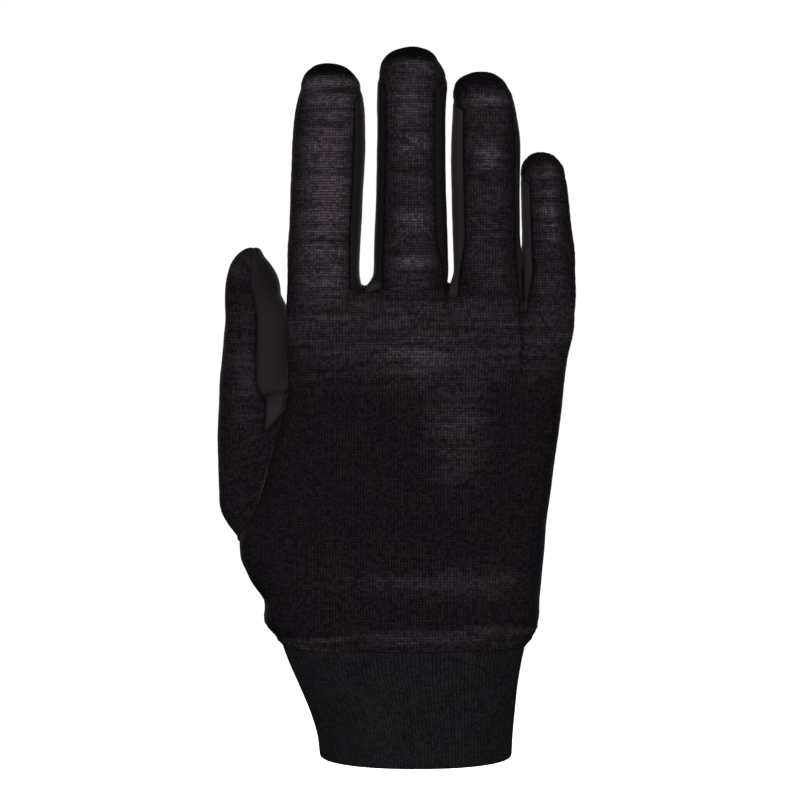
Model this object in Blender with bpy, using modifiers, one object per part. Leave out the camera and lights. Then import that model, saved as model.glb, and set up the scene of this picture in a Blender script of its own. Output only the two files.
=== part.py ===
# A fine knitted glove liner for the right hand, in the round form that it has when worn.
# The cuff's mouth is centred on the origin, the fingers point up (+Z), the back of the hand
# faces -Y, the palm faces +Y and the thumb is on the -X side.

import math

import bpy
import numpy as np

mm = 0.001

# Driving sizes
gloveLength = 236.5 * mm  # cuff mouth to the middle fingertip
palmWidth = 95.0 * mm  # across the knuckles
palmDepth = 30.0 * mm  # back to palm at the knuckles
cuffHeight = 37.0 * mm  # cuff mouth to the wrist seam
mouthWidth = 63.0 * mm  # across the cuff's mouth
mouthDepth = 46.0 * mm  # back to palm at the cuff's mouth
clothThickness = 1.0 * mm  # hand and finger knit
cuffThickness = 1.8 * mm  # folded double rib knit
seamGap = 0.42 * mm  # clearance between neighbouring panels

# Shape constants
fingerPower = 2.15  # 2 is an ellipse, more is squarer
handPower = 2.5
thumbPower = 2.1
tipRise = math.radians(46)  # how far up the tip's arch the side seams run before they turn
scallopReach = 30.0 * mm  # below the crotches, over which the rounding of a finger fades out
valleyReach = 15.0 * mm  # the same for the valley between two fingers
evenReach = 70.0 * mm  # below the crotches, over which the columns become evenly spaced
edgeSettles = 0.30  # share of a finger over which its seams leave their places at the crotch
edgeTurns = 0.86  # share of a finger from which its seams run on towards its two sides

# Mesh counts
fingerColumns = 7
webColumns = 1  # points between two fingers at a crotch
sideColumns = 2  # across a side strip
domeRows = 3
thumbColumns = 8  # round each of the thumb's two pieces
thumbRows = 10
cuffColumns = 46
cuffRows = 6

# Where each finger stands and how long it is.
# x values are shares of palmWidth, heights of gloveLength, depths of palmDepth.
# leftEdge and rightEdge are the angles, in degrees from the middle of the finger's back,
# at which the back panel ends along the finger.
# leftRoot and rightRoot are the same angles at the crotch.
fingerNames = (
    "name", "rootX", "tipX", "rootY", "tipY", "endZ", "dome",
    "leftEdge", "rightEdge", "leftRoot", "rightRoot",
)
fingerTable = (
    ("index", -0.328, -0.302, 0.06, 0.16, 0.9790, 0.0370, 90, 46, 90, 50),
    ("middle", -0.020, -0.017, 0.00, 0.10, 1.0000, 0.0390, 50, 42, 50, 68),
    ("ring", 0.251, 0.237, 0.04, 0.14, 0.9645, 0.0360, 42, 56, 66, 72),
    ("little", 0.4752, 0.455, 0.16, 0.26, 0.8505, 0.0290, 42, 90, 66, 90),
)

# Half width of each finger as a share of palmWidth, by the share of its length.
girthNames = ("along", "index", "middle", "ring", "little")
girthTable = (
    (-0.6, 0.136, 0.142, 0.118, 0.092),
    (0.00, 0.1270, 0.1350, 0.1165, 0.0940),
    (0.22, 0.1245, 0.1290, 0.1180, 0.0925),
    (0.45, 0.1280, 0.1235, 0.1200, 0.0905),
    (0.66, 0.1285, 0.1200, 0.1195, 0.0875),
    (0.82, 0.1265, 0.1205, 0.1160, 0.0845),
    (0.92, 0.1190, 0.1215, 0.1110, 0.0810),
    (1.00, 0.1060, 0.1170, 0.1045, 0.0755),
)

# Half depth of a finger as a share of its half width, by the share of its length.
plumpNames = ("along", "half")
plumpTable = (
    (-0.6, 0.98),
    (0.00, 0.90),
    (0.22, 0.84),
    (0.45, 0.86),
    (0.70, 0.80),
    (1.00, 0.76),
)

# Heights of the three crotches as shares of gloveLength, on the back and on the palm,
# and the depth of the rounded bottom there as a share of the same length.
crotchNames = ("back", "palm", "round")
crotchTable = (
    (0.6505, 0.6640, 0.0060),
    (0.6440, 0.6660, 0.0035),
    (0.6210, 0.6880, 0.0044),
)
thumbSideTop = 0.645  # height of the hand's edge below the index finger, share of gloveLength
littleSideTop = 0.632  # the same below the little finger

# The hand below the crotches. Heights are shares of gloveLength, left and right
# are shares of palmWidth, sideY, back and palm are shares of palmDepth.
# cut is how far the thumb's hole reaches from the side seam round the palm, in degrees.
handNames = ("height", "left", "right", "sideY", "back", "palm", "cut")
handTable = (
    (0.1580, -0.469, 0.383, 0.00, 0.675, 0.680, 0),
    (0.1690, -0.490, 0.402, 0.00, 0.735, 0.735, 0),
    (0.1860, -0.522, 0.422, 0.00, 0.760, 0.770, 0),
    (0.2200, -0.543, 0.430, 0.01, 0.740, 0.790, 0),
    (0.2560, -0.592, 0.439, 0.04, 0.720, 0.800, 0),
    (0.2900, -0.609, 0.449, 0.08, 0.700, 0.800, 0),
    (0.3300, -0.577, 0.457, 0.10, 0.680, 0.790, 18),
    (0.3700, -0.548, 0.471, 0.10, 0.660, 0.760, 29),
    (0.4100, -0.519, 0.484, 0.09, 0.640, 0.720, 33),
    (0.4400, -0.496, 0.494, 0.08, 0.620, 0.680, 29),
    (0.4700, -0.473, 0.504, 0.07, 0.600, 0.640, 17),
    (0.5000, -0.452, 0.514, 0.06, 0.580, 0.600, 0),
    (0.5500, -0.448, 0.528, 0.05, 0.540, 0.560, 0),
    (0.6000, -0.449, 0.543, 0.04, 0.490, 0.520, 0),
    (0.6500, -0.452, 0.558, 0.03, 0.440, 0.480, 0),
)
# Heights of the hand's rows, as shares of the way from the wrist seam up to the crotches.
handRows = (
    0.0, 0.02, 0.055, 0.125, 0.20, 0.272, 0.345, 0.42, 0.50,
    0.57, 0.64, 0.705, 0.785, 0.855, 0.915, 0.96, 1.0,
)
holeRows = (5, 11)  # numbers of the rows at which the thumb's hole starts and ends
fingerRows = (0.0, 0.10, 0.22, 0.35, 0.48, 0.61, 0.74, 0.86, 0.955, 1.0)  # shares of a finger

# The thumb, from the hole in the hand's side to its end. x, y, half and deep are shares of
# palmWidth, height of gloveLength. turn is how many degrees the row is still tipped towards
# the plane of the hole, hold is how far it has left the hole's outline for its own round.
thumbNames = ("along", "x", "y", "height", "half", "deep", "turn", "hold")
thumbTable = (
    (0.00, -0.543, 0.118, 0.3960, 0.268, 0.095, 71, 0.00),
    (0.10, -0.557, 0.134, 0.4110, 0.258, 0.108, 65, 0.42),
    (0.20, -0.576, 0.154, 0.4300, 0.263, 0.117, 60, 0.76),
    (0.32, -0.583, 0.170, 0.4510, 0.238, 0.123, 56, 0.93),
    (0.46, -0.585, 0.190, 0.4880, 0.205, 0.125, 50, 1.00),
    (0.65, -0.583, 0.213, 0.5490, 0.163, 0.119, 37, 1.00),
    (0.85, -0.581, 0.237, 0.6130, 0.122, 0.107, 17, 1.00),
    (1.00, -0.594, 0.255, 0.6554, 0.102, 0.096, 0, 1.00),
)
thumbEnd = 0.7240  # height of the thumb's tip, share of gloveLength
# Where the smooth front piece of the thumb meets its knit back piece on the camera side and on
# the palm side, in degrees from the thumb's outer side, by the row's place along the thumb.
thumbSeamNames = ("along", "near", "far")
thumbSeamTable = (
    (0.00, 150, 150),
    (0.10, 140, 138),
    (0.20, 119, 118),
    (0.33, 93, 96),
    (0.60, 90, 90),
    (1.00, 90, 90),
)

# The cuff. height is a share of cuffHeight, left and right of mouthWidth, depth of mouthDepth.
cuffNames = ("height", "left", "right", "half")
cuffTable = (
    (0.00, -0.508, 0.500, 0.500),
    (0.20, -0.523, 0.506, 0.498),
    (0.42, -0.563, 0.518, 0.495),
    (0.65, -0.620, 0.532, 0.492),
    (0.85, -0.672, 0.552, 0.480),
    (1.00, -0.706, 0.572, 0.462),
)

wristZ = cuffHeight + seamGap / 2
holdName = "glove_liner"


def asRows(names, table):
    return [dict(zip(names, row)) for row in table]


def smoothAt(names, table, column, at):
    """Smooth curve through one column of a table, straight beyond its ends."""
    x = np.array([row[0] for row in table], float)
    y = np.array([row[names.index(column)] for row in table], float)
    rise = np.diff(y) / np.diff(x)
    slope = np.empty(len(x))
    slope[0], slope[-1] = rise[0], rise[-1]
    slope[1:-1] = np.where(rise[:-1] * rise[1:] > 0, (rise[:-1] + rise[1:]) / 2, 0)
    at = np.asarray(at, float)
    i = np.clip(np.searchsorted(x, at) - 1, 0, len(x) - 2)
    w = x[i + 1] - x[i]
    t = np.clip((at - x[i]) / w, 0, 1)
    bend = (
        (1 + 2 * t) * (1 - t) ** 2 * y[i] + t * (1 - t) ** 2 * w * slope[i]
        + t * t * (3 - 2 * t) * y[i + 1] + t * t * (t - 1) * w * slope[i + 1]
    )
    past = np.minimum(at - x[0], 0) * slope[0] + np.maximum(at - x[-1], 0) * slope[-1]
    return bend + past


def ease(t):
    t = np.clip(t, 0, 1)
    return t * t * (3 - 2 * t)


def onRound(direction, power):
    """Moves directions onto a rounded box of half size one."""
    norm = (np.abs(direction) ** power).sum(axis=-1, keepdims=True) ** (1 / power)
    return direction / norm


def facing(angle):
    """Direction of an angle counted from the back (-Y) towards +X."""
    angle = np.asarray(angle, float)
    return np.stack([np.sin(angle), -np.cos(angle), np.zeros_like(angle)], axis=-1)


def fingerFrame(finger, z):
    """Middle and half sizes of a finger at the heights z."""
    t = (z - finger["low"]) / (finger["high"] - finger["low"])
    half = smoothAt(girthNames, girthTable, finger["name"], t) * palmWidth
    deep = smoothAt(plumpNames, plumpTable, "half", t) * half
    lean = np.clip(t, -0.6, 1.2)
    x = (finger["rootX"] + (finger["tipX"] - finger["rootX"]) * lean) * palmWidth
    y = (finger["rootY"] + (finger["tipY"] - finger["rootY"]) * lean * np.abs(lean)) * palmDepth
    return x, y, half, deep


def fingerPoint(finger, angle, z):
    x, y, half, deep = fingerFrame(finger, z)
    p = onRound(facing(angle), fingerPower)
    return np.stack([x + half * p[..., 0], y + deep * p[..., 1], z + 0 * angle], axis=-1)


def tipRow(share, columns, side):
    """One row of a finger's rounded end, as points on a round of half size one.
    share runs from 0, the row round the finger's end, to 1, the row along the tip."""
    up, lift = share * tipRise, share * math.pi / 2
    middle = np.array([0, side * math.cos(lift), math.sin(lift)])
    chordMiddle = np.array([0, 0, math.sin(up)])
    across = middle - chordMiddle
    sag = np.linalg.norm(across)
    radius = (math.cos(up) ** 2 + sag**2) / (2 * sag)
    turn = math.atan2(math.cos(up), radius - sag)
    angle = np.linspace(-turn, turn, columns + 1)[:, None]
    centre = chordMiddle + across / sag * (sag - radius)
    return centre + radius * (np.sin(angle) * np.array([1, 0, 0]) + np.cos(angle) * across / sag)


def tipRows(finger, columns, side):
    x, y, half, deep = fingerFrame(finger, finger["high"])
    size = np.array([half, deep, finger["dome"] * gloveLength])
    rows = []
    for share in np.linspace(0, 1, domeRows + 1)[1:]:
        row = onRound(tipRow(share, columns, side), fingerPower)
        rows.append(np.array([x, y, finger["high"]]) + row * size)
    return rows


def edgeAngle(finger, which, share):
    """Angle at which the back panel ends beside a finger. share is 0 at the crotch, 1 at the end."""
    root, along = finger[which + "Root"], finger[which + "Edge"]
    angle = root + (along - root) * ease(share / edgeSettles)
    return np.radians(angle + (90 - angle) * ease((share - edgeTurns) / (1 - edgeTurns)))


def crotchEnds(k, side):
    """Heights of finger k's first row at its left and right edges."""
    column = 0 if side < 0 else 1
    left = thumbSideTop if k == 0 else crotchTable[k - 1][column] + crotchTable[k - 1][2]
    right = littleSideTop if k == lastFinger else crotchTable[k][column] + crotchTable[k][2]
    return left * gloveLength, right * gloveLength


def sideSign(angle, side):
    """Angles are mirrored to the palm for side +1."""
    return angle if side < 0 else math.pi - angle


def fingerGrid(k, side):
    """The rows of one finger's back or palm, from its first row to its tip."""
    finger = fingers[k]
    left, right = crotchEnds(k, side)
    across = np.linspace(0, 1, fingerColumns + 1)
    rows = []
    for share in fingerRows:
        z = (left + (right - left) * across) * (1 - share) + finger["high"] * share
        start, end = -edgeAngle(finger, "left", share), edgeAngle(finger, "right", share)
        angle = start + (end - start) * across
        rows.append(fingerPoint(finger, sideSign(angle, side), z))
    return rows + tipRows(finger, fingerColumns, side)


def webPoint(k, across, over):
    """A point of the crotch between fingers k and k+1. across runs from one finger to the next,
    over from the back panel's edge (0) to the palm panel's (1)."""
    one, two = fingers[k], fingers[k + 1]
    row = dict(zip(crotchNames, crotchTable[k]))
    base = (row["back"] + (row["palm"] - row["back"]) * over) * gloveLength
    z = base + row["round"] * gloveLength * (1 - math.sin(math.pi * across))
    first = math.radians(one["rightRoot"])
    second = math.radians(two["leftRoot"])
    a = fingerPoint(one, np.array(first + (math.pi - 2 * first) * over), np.array(z))
    b = fingerPoint(two, np.array(-second - (math.pi - 2 * second) * over), np.array(z))
    p = a + (b - a) * across
    p[2] = z
    return p


def handFrame(z):
    at = z / gloveLength
    left = smoothAt(handNames, handTable, "left", at) * palmWidth
    right = smoothAt(handNames, handTable, "right", at) * palmWidth
    sideY = smoothAt(handNames, handTable, "sideY", at) * palmDepth
    back = smoothAt(handNames, handTable, "back", at) * palmDepth
    palm = smoothAt(handNames, handTable, "palm", at) * palmDepth
    cut = np.radians(np.clip(smoothAt(handNames, handTable, "cut", at), 0, None))
    return left, right, sideY, back, palm, cut


def handPoint(angle, z, side):
    """A point of the plain hand. angle is -90 degrees at the thumb side, 90 at the little side."""
    left, right, sideY, back, palm, _ = handFrame(z)
    p = onRound(facing(angle), handPower)
    x = (left + right) / 2 + (right - left) / 2 * p[..., 0]
    y = sideY + np.where(side < 0, back, -palm) * p[..., 1]
    return np.stack([x, y, z + 0 * x], axis=-1)


def topRow(side):
    """The hand's row through the crotches, with what each of its columns follows."""
    points, owners = [], []
    for k, finger in enumerate(fingers):
        row = fingerGrid(k, side)[0]
        start, end = -math.radians(finger["leftRoot"]), math.radians(finger["rightRoot"])
        for j in range(fingerColumns + 1):
            points.append(row[j])
            owners.append(("finger", k, start + (end - start) * j / fingerColumns))
        if k < lastFinger:
            for j in range(webColumns):
                share = (j + 1) / (webColumns + 1)
                points.append(webPoint(k, share, 0 if side < 0 else 1))
                owners.append(("web", k, share))
    return np.array(points), owners


def handRowsOf(side):
    """Rows of the hand from the wrist seam to the crotches."""
    top, owners = topRow(side)
    left, right = top[0, 0], top[-1, 0]
    share = np.clip((2 * top[:, 0] - left - right) / (right - left), -1, 1)
    crowded = np.arctan2(share, (1 - np.abs(share) ** handPower) ** (1 / handPower))
    even = evenAngles(len(share))
    faces = np.array([facesCrotch(owner) for owner in owners])
    rows = []
    for level in handRows:
        z = wristZ + (top[:, 2] - wristZ) * level
        below = top[:, 2] - z
        angle = crowded + (even - crowded) * ease((below - scallopReach) / evenReach)
        firstWeb = angle[fingerColumns + 1]
        cut = handFrame(z)[5] if side > 0 else 0 * z
        hold = np.clip((firstWeb - angle) / (firstWeb + math.pi / 2), 0, 1)
        plain = handPoint(angle + cut * hold, z, side)
        follow = np.array([followPoint(owners[j], z[j], side) for j in range(len(z))])
        ridge = np.array([ridgeDepth(owners[j], z[j], side) for j in range(len(z))])
        valley = np.where(faces, ease(1 - below / valleyReach), 1)
        follow[:, 1] = ridge + (follow[:, 1] - ridge) * valley
        rows.append(plain + (follow - plain) * ease(1 - below / scallopReach)[:, None])
    return rows


def evenAngles(count):
    """Angles that space columns evenly along the back of a plain hand."""
    angle = np.linspace(-math.pi / 2, math.pi / 2, 721)
    arc = onRound(facing(angle), handPower) * np.array([palmWidth / 2, palmDepth / 2, 0])
    length = np.concatenate([[0], np.cumsum(np.linalg.norm(np.diff(arc, axis=0), axis=1))])
    return np.interp(np.linspace(0, length[-1], count), length, angle)


def facesCrotch(owner):
    kind, k, at = owner
    return kind == "web" or (k > 0 and at < 0) or (k < lastFinger and at > 0)


def ridgeDepth(owner, z, side):
    """Y of the top of the finger that a column follows, or between two fingers."""
    kind, k, at = owner
    top = np.array(sideSign(0.0, side))
    one = fingerPoint(fingers[k], top, np.array(z))[1]
    if kind == "finger":
        return one
    return one + (fingerPoint(fingers[k + 1], top, np.array(z))[1] - one) * at


def followPoint(owner, z, side):
    kind, k, at = owner
    if kind == "finger":
        return fingerPoint(fingers[k], np.array(sideSign(at, side)), np.array(z))
    first = sideSign(math.radians(fingers[k]["rightRoot"]), side)
    second = sideSign(-math.radians(fingers[k + 1]["leftRoot"]), side)
    a = fingerPoint(fingers[k], np.array(first), np.array(z))
    b = fingerPoint(fingers[k + 1], np.array(second), np.array(z))
    return a + (b - a) * at


def gridFaces(ids, faces, turned):
    for i in range(len(ids) - 1):
        for j in range(len(ids[i]) - 1):
            quad = [ids[i][j], ids[i][j + 1], ids[i + 1][j + 1], ids[i + 1][j]]
            faces.append(quad[::-1] if turned else quad)


def pulledIn(points, faces, by):
    """Moves the open edge of a panel inwards along its surface, which leaves the seam's gap."""
    points = np.array(points, float)
    count = {}
    for face in faces:
        for a, b in zip(face, face[1:] + face[:1]):
            key = (min(a, b), max(a, b))
            count[key] = count.get(key, 0) + 1
    rim = {}
    for a, b in [key for key, n in count.items() if n == 1]:
        rim.setdefault(a, []).append(b)
        rim.setdefault(b, []).append(a)
    middle = {}
    for face in faces:
        centre = points[face].mean(axis=0)
        for v in face:
            if v in rim:
                middle.setdefault(v, []).append(centre)
    moved = points.copy()
    for v, ends in rim.items():
        inward = np.mean(middle[v], axis=0) - points[v]
        shift = np.zeros(3)
        for end in ends:
            along = points[end] - points[v]
            along /= np.linalg.norm(along)
            away = inward - along * inward.dot(along)
            shift += away / np.linalg.norm(away)
        if np.linalg.norm(shift) > 1e-9:
            shift /= np.linalg.norm(shift)
            sines = []
            for end in ends:
                along = points[end] - points[v]
                along /= np.linalg.norm(along)
                sines.append(np.linalg.norm(np.cross(shift, along)))
            moved[v] = points[v] + shift * by / max(0.5, np.mean(sines))
    return moved


def cornerAngle(points, before, at, after):
    one, two = points[before] - points[at], points[after] - points[at]
    size = np.linalg.norm(one) * np.linalg.norm(two)
    return math.acos(max(-1, min(1, one.dot(two) / size)))


def spot(point):
    return tuple(np.round(point / (0.01 * mm) + 0.137).astype(int))


def sharedNormals(panels):
    """Normals of the whole skin, so that two panels lean the same way at their seam and their
    walls meet there like a mitre. Each comes with the stretch that keeps the wall's thickness."""
    total, faceNormals = {}, {}
    for panel in panels:
        for face in panel["faces"]:
            corners = panel["points"][face]
            normal = np.cross(corners[2] - corners[0], corners[3] - corners[1])
            normal /= np.linalg.norm(normal)
            for n, v in enumerate(face):
                key = spot(panel["points"][v])
                weight = cornerAngle(panel["points"], face[n - 1], v, face[(n + 1) % 4])
                total[key] = total.get(key, 0) + normal * weight
                faceNormals.setdefault(key, []).append(normal)
    found = {}
    for key, normal in total.items():
        normal = normal / np.linalg.norm(normal)
        lean = np.mean([normal.dot(other) for other in faceNormals[key]])
        found[key] = normal / max(0.8, lean)
    return found


def makePanel(panel, normals):
    """A panel of cloth: its outer face pulled in from the seams, its inner face and the rim."""
    points, faces = panel["points"], panel["faces"]
    lean = np.array([normals[spot(p)] for p in points])
    for v, (one, two, share) in panel.get("between", {}).items():
        lean[v] = normals[spot(one)] * (1 - share) + normals[spot(two)] * share
    outer = pulledIn(points, faces, seamGap / 2)
    inner = outer - lean * clothThickness
    count = len(outer)
    both = np.vstack([outer, inner])
    directed = {(a, b) for face in faces for a, b in zip(face, face[1:] + face[:1])}
    skin = []
    for face in faces:
        for part in flattest(outer, face):
            skin += [part, tuple(v + count for v in part[::-1])]
        for a, b in zip(face, face[1:] + face[:1]):
            if (b, a) not in directed:
                inward = outer[face].mean(axis=0) - (outer[a] + outer[b]) / 2
                skin += hollowest(both, (b, a, a + count, b + count), inward)
    return makePiece(panel["name"], both, skin, panel["colour"])


def flattest(points, face):
    """Splits a four-cornered face along the diagonal that folds it least."""
    a, b, c, d = face
    best = None
    for one, two in (((a, b, c), (a, c, d)), ((a, b, d), (b, c, d))):
        sides = [np.cross(points[t[1]] - points[t[0]], points[t[2]] - points[t[0]]) for t in (one, two)]
        fold = sides[0].dot(sides[1]) / (np.linalg.norm(sides[0]) * np.linalg.norm(sides[1]))
        if best is None or fold > best[0]:
            best = (fold, (one, two))
    return best[1]


def hollowest(points, face, inward):
    """Splits a face of the rim along the diagonal that lies deeper in its own panel, so that it
    never bulges into the neighbour's."""
    a, b, c, d = face
    if (points[a] + points[c] - points[b] - points[d]).dot(inward) > 0:
        return [(a, b, c), (a, c, d)]
    return [(a, b, d), (b, c, d)]


def makePiece(name, points, faces, colour):
    mesh = bpy.data.meshes.new(name)
    mesh.from_pydata([tuple(p) for p in points], [], faces)
    mesh.update()
    for polygon in mesh.polygons:
        polygon.use_smooth = True
    piece = bpy.data.objects.new(name, mesh)
    collection.objects.link(piece)
    piece.data.materials.append(plainMaterial(name, colour))
    return piece


def plainMaterial(name, colour):
    material = bpy.data.materials.new(name)
    material.use_nodes = True
    shader = material.node_tree.nodes["Principled BSDF"]
    shader.inputs["Base Color"].default_value = (*colour, 1)
    shader.inputs["Roughness"].default_value = 0.9
    return material


def handPanel(name, side, colour):
    """Back or palm: the hand's rows with the four fingers on top, in one piece."""
    points, faces = [], []

    def add(row):
        first = len(points)
        points.extend(row)
        return list(range(first, first + len(row)))

    hand = [add(row) for row in handRowsOf(side)]
    gridFaces(hand, faces, side > 0)
    for k in range(len(fingers)):
        first = k * (fingerColumns + 1 + webColumns)
        base = hand[-1][first:first + fingerColumns + 1]
        ids = [base] + [add(row) for row in fingerGrid(k, side)[1:]]
        gridFaces(ids, faces, side > 0)
    return {"name": name, "points": np.array(points), "faces": faces, "colour": colour}


def stripRow(k, which, share):
    """A row of a side strip on finger k, from the back's edge to the palm's."""
    finger = fingers[k]
    low = [crotchEnds(k, side)[0 if which == "left" else 1] for side in (-1, 1)]
    edge = float(edgeAngle(finger, which, share))
    over = np.linspace(0, 1, sideColumns + 1)
    angle = edge + (math.pi - 2 * edge) * over
    z = (low[0] + (low[1] - low[0]) * over) * (1 - share) + finger["high"] * share
    return fingerPoint(finger, angle if which == "right" else -angle, z)


def sideStrip(name, k, colour):
    """The strip that lines the gap between finger k and the next, round the crotch."""
    shares = fingerRows[:-1]
    rows = [stripRow(k, "right", share) for share in shares[::-1]]
    for j in range(webColumns):
        across = (j + 1) / (webColumns + 1)
        over = np.linspace(0, 1, sideColumns + 1)
        rows.append(np.array([webPoint(k, across, o) for o in over]))
    rows += [stripRow(k + 1, "left", share) for share in shares]
    points = [p for row in rows for p in row]
    wide = sideColumns + 1
    ids = [[i * wide + j for j in range(wide)] for i in range(len(rows))]
    faces = []
    gridFaces(ids, faces, True)
    return {"name": name, "points": np.array(points), "faces": faces, "colour": colour}


def loopSpan(angle):
    """The two corners of the thumb hole's outline that an angle lies between, and its share of
    the way. Angle 0 is the hole's bottom and 180 its top, positive along the back's edge."""
    edge = holeEdges[-1 if angle >= 0 else 1]
    at = abs(angle) / math.pi * (len(edge) - 1)
    i = min(int(at), len(edge) - 2)
    return edge[i], edge[i + 1], at - i


def loopPoint(angle):
    one, two, share = loopSpan(angle)
    return one + (two - one) * share


def thumbFrame(along):
    """Middle of a row, its outer, near and onward directions, its half sizes and its hold."""
    get = {c: float(smoothAt(thumbNames, thumbTable, c, along)) for c in thumbNames[1:]}
    centre = np.array([get["x"] * palmWidth, get["y"] * palmWidth, get["height"] * gloveLength])
    turn = math.radians(get["turn"])
    outer = np.array([-math.cos(turn), 0, -math.sin(turn)])
    near = np.array([0, -1, 0])
    up = np.array([-math.sin(turn), 0, math.cos(turn)])
    return centre, up, outer, near, get["half"] * palmWidth, get["deep"] * palmWidth, get["hold"]


def thumbRow(along, angles):
    centre, up, outer, near, half, deep, hold = thumbFrame(along)
    gone = centre - thumbFrame(0.0)[0]
    row = []
    for angle in angles:
        p = onRound(facing(angle), thumbPower)
        tube = centre - outer * p[1] * half + near * p[0] * deep
        row.append((loopPoint(angle) + gone) * (1 - hold) + tube * hold)
    return row


def thumbTip(columns, front):
    centre, up, outer, near, half, deep, _ = thumbFrame(1.0)
    length = (thumbEnd * gloveLength - centre[2]) / up[2]
    rows = []
    for share in np.linspace(0, 1, domeRows + 1)[1:]:
        row = onRound(tipRow(share, columns, -1), thumbPower)
        if front:
            row = row[::-1] * np.array([1, -1, 1])
        size = np.array([deep * near, -half * outer, length * up])
        rows.append(list(centre + row @ size))
    return rows


def thumbPiece(name, front, colour):
    """The thumb's knit outer piece, or its smooth inner piece for front."""
    points, faces, ids, between = [], [], [], {}

    def add(row):
        ids.append(list(range(len(points), len(points) + len(row))))
        points.extend(row)

    for along in np.linspace(0, 1, thumbRows + 1):
        near = math.radians(float(smoothAt(thumbSeamNames, thumbSeamTable, "near", along)))
        far = math.radians(float(smoothAt(thumbSeamNames, thumbSeamTable, "far", along)))
        start, end = (near, 2 * math.pi - far) if front else (-far, near)
        angles = np.linspace(start, end, thumbColumns + 1)
        angles = np.where(angles > math.pi, angles - 2 * math.pi, angles)
        add(thumbRow(along, angles))
        if along == 0:
            between = {v: loopSpan(angle) for v, angle in enumerate(angles)}
    for row in thumbTip(thumbColumns, front):
        add(row)
    gridFaces(ids, faces, False)
    return {
        "name": name, "points": np.array(points), "faces": faces, "colour": colour,
        "between": between,
    }


def cuffTube(name, colour):
    points, faces, ids = [], [], []
    for level in np.linspace(0, 1, cuffRows + 1):
        left = float(smoothAt(cuffNames, cuffTable, "left", level)) * mouthWidth
        right = float(smoothAt(cuffNames, cuffTable, "right", level)) * mouthWidth
        half = float(smoothAt(cuffNames, cuffTable, "half", level)) * mouthDepth
        ids.append([])
        for j in range(cuffColumns):
            p = onRound(facing(2 * math.pi * j / cuffColumns), fingerPower)
            ids[-1].append(len(points))
            x = (left + right) / 2 + (right - left) / 2 * p[0]
            points.append(np.array([x, half * p[1], level * cuffHeight]))
        ids[-1].append(ids[-1][0])
    gridFaces(ids, faces, False)
    tube = makePiece(name, points, faces, colour)
    wall = tube.modifiers.new("Wall", "SOLIDIFY")
    wall.thickness = cuffThickness
    wall.offset = -1
    wall.use_quality_normals = True
    return tube


def clearScene():
    for piece in list(bpy.data.objects):
        bpy.data.objects.remove(piece, do_unlink=True)


clearScene()
collection = bpy.data.collections.new(holdName)
bpy.context.scene.collection.children.link(collection)

fingers = asRows(fingerNames, fingerTable)
lastFinger = len(fingers) - 1
for k, finger in enumerate(fingers):
    around = [crotchTable[i][0] for i in (k - 1, k) if 0 <= i < lastFinger]
    finger["low"] = sum(around) / len(around) * gloveLength
    finger["high"] = (finger["endZ"] - finger["dome"]) * gloveLength

knitBlack = (0.016, 0.013, 0.015)
smoothBlack = (0.022, 0.018, 0.020)
ribBlack = (0.017, 0.015, 0.017)

holeEdges = {}
for side in (-1, 1):
    holeEdges[side] = [row[0] for row in handRowsOf(side)][holeRows[0]:holeRows[1] + 1]

panels = [
    handPanel("back_panel", -1, knitBlack),
    handPanel("palm_panel", 1, knitBlack),
    sideStrip("fourchette_index_middle", 0, smoothBlack),
    sideStrip("fourchette_middle_ring", 1, smoothBlack),
    sideStrip("fourchette_ring_little", 2, smoothBlack),
    thumbPiece("thumb_back", False, knitBlack),
    thumbPiece("thumb_front", True, smoothBlack),
]
normals = sharedNormals(panels)
for panel in panels:
    makePanel(panel, normals)
cuffTube("cuff", ribBlack)
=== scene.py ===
import math

import bpy
import numpy as np
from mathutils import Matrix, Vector, kdtree, noise


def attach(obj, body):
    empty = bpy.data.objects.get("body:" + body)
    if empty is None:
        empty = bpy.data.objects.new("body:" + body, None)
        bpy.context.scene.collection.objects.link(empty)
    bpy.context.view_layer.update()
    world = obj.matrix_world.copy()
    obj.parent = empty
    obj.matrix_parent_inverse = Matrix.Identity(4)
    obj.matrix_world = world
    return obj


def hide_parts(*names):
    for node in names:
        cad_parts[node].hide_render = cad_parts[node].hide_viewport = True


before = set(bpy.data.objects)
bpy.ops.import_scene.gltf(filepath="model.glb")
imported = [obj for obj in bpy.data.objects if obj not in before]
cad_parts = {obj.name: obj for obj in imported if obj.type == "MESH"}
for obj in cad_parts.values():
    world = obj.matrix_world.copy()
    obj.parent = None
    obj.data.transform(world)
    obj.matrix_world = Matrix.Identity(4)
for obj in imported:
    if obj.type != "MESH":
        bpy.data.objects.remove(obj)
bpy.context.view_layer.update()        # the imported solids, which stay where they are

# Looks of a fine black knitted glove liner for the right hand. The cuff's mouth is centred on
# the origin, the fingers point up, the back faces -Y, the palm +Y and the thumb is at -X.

mm = 0.001

# Sizes of the liner. The solids share them, but for the middle finger's end, the little finger's
# tip, edgeTurns and the thumb's near seam, which are a little truer here.
# In the tables below heights are shares of gloveLength (of cuffHeight for the cuff), widths are
# shares of palmWidth (mouthWidth), depths are shares of palmDepth (mouthDepth), and edges, cuts,
# turns and seams are in degrees. The thumb's depths are shares of palmWidth, and plumpTable gives
# a finger's depth in half widths.
gloveLength = 236.5 * mm
palmWidth = 95.0 * mm
palmDepth = 30.0 * mm
cuffHeight = 37.0 * mm
mouthWidth = 63.0 * mm
mouthDepth = 46.0 * mm
seamGap = 0.42 * mm
wristZ = cuffHeight + seamGap / 2

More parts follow.
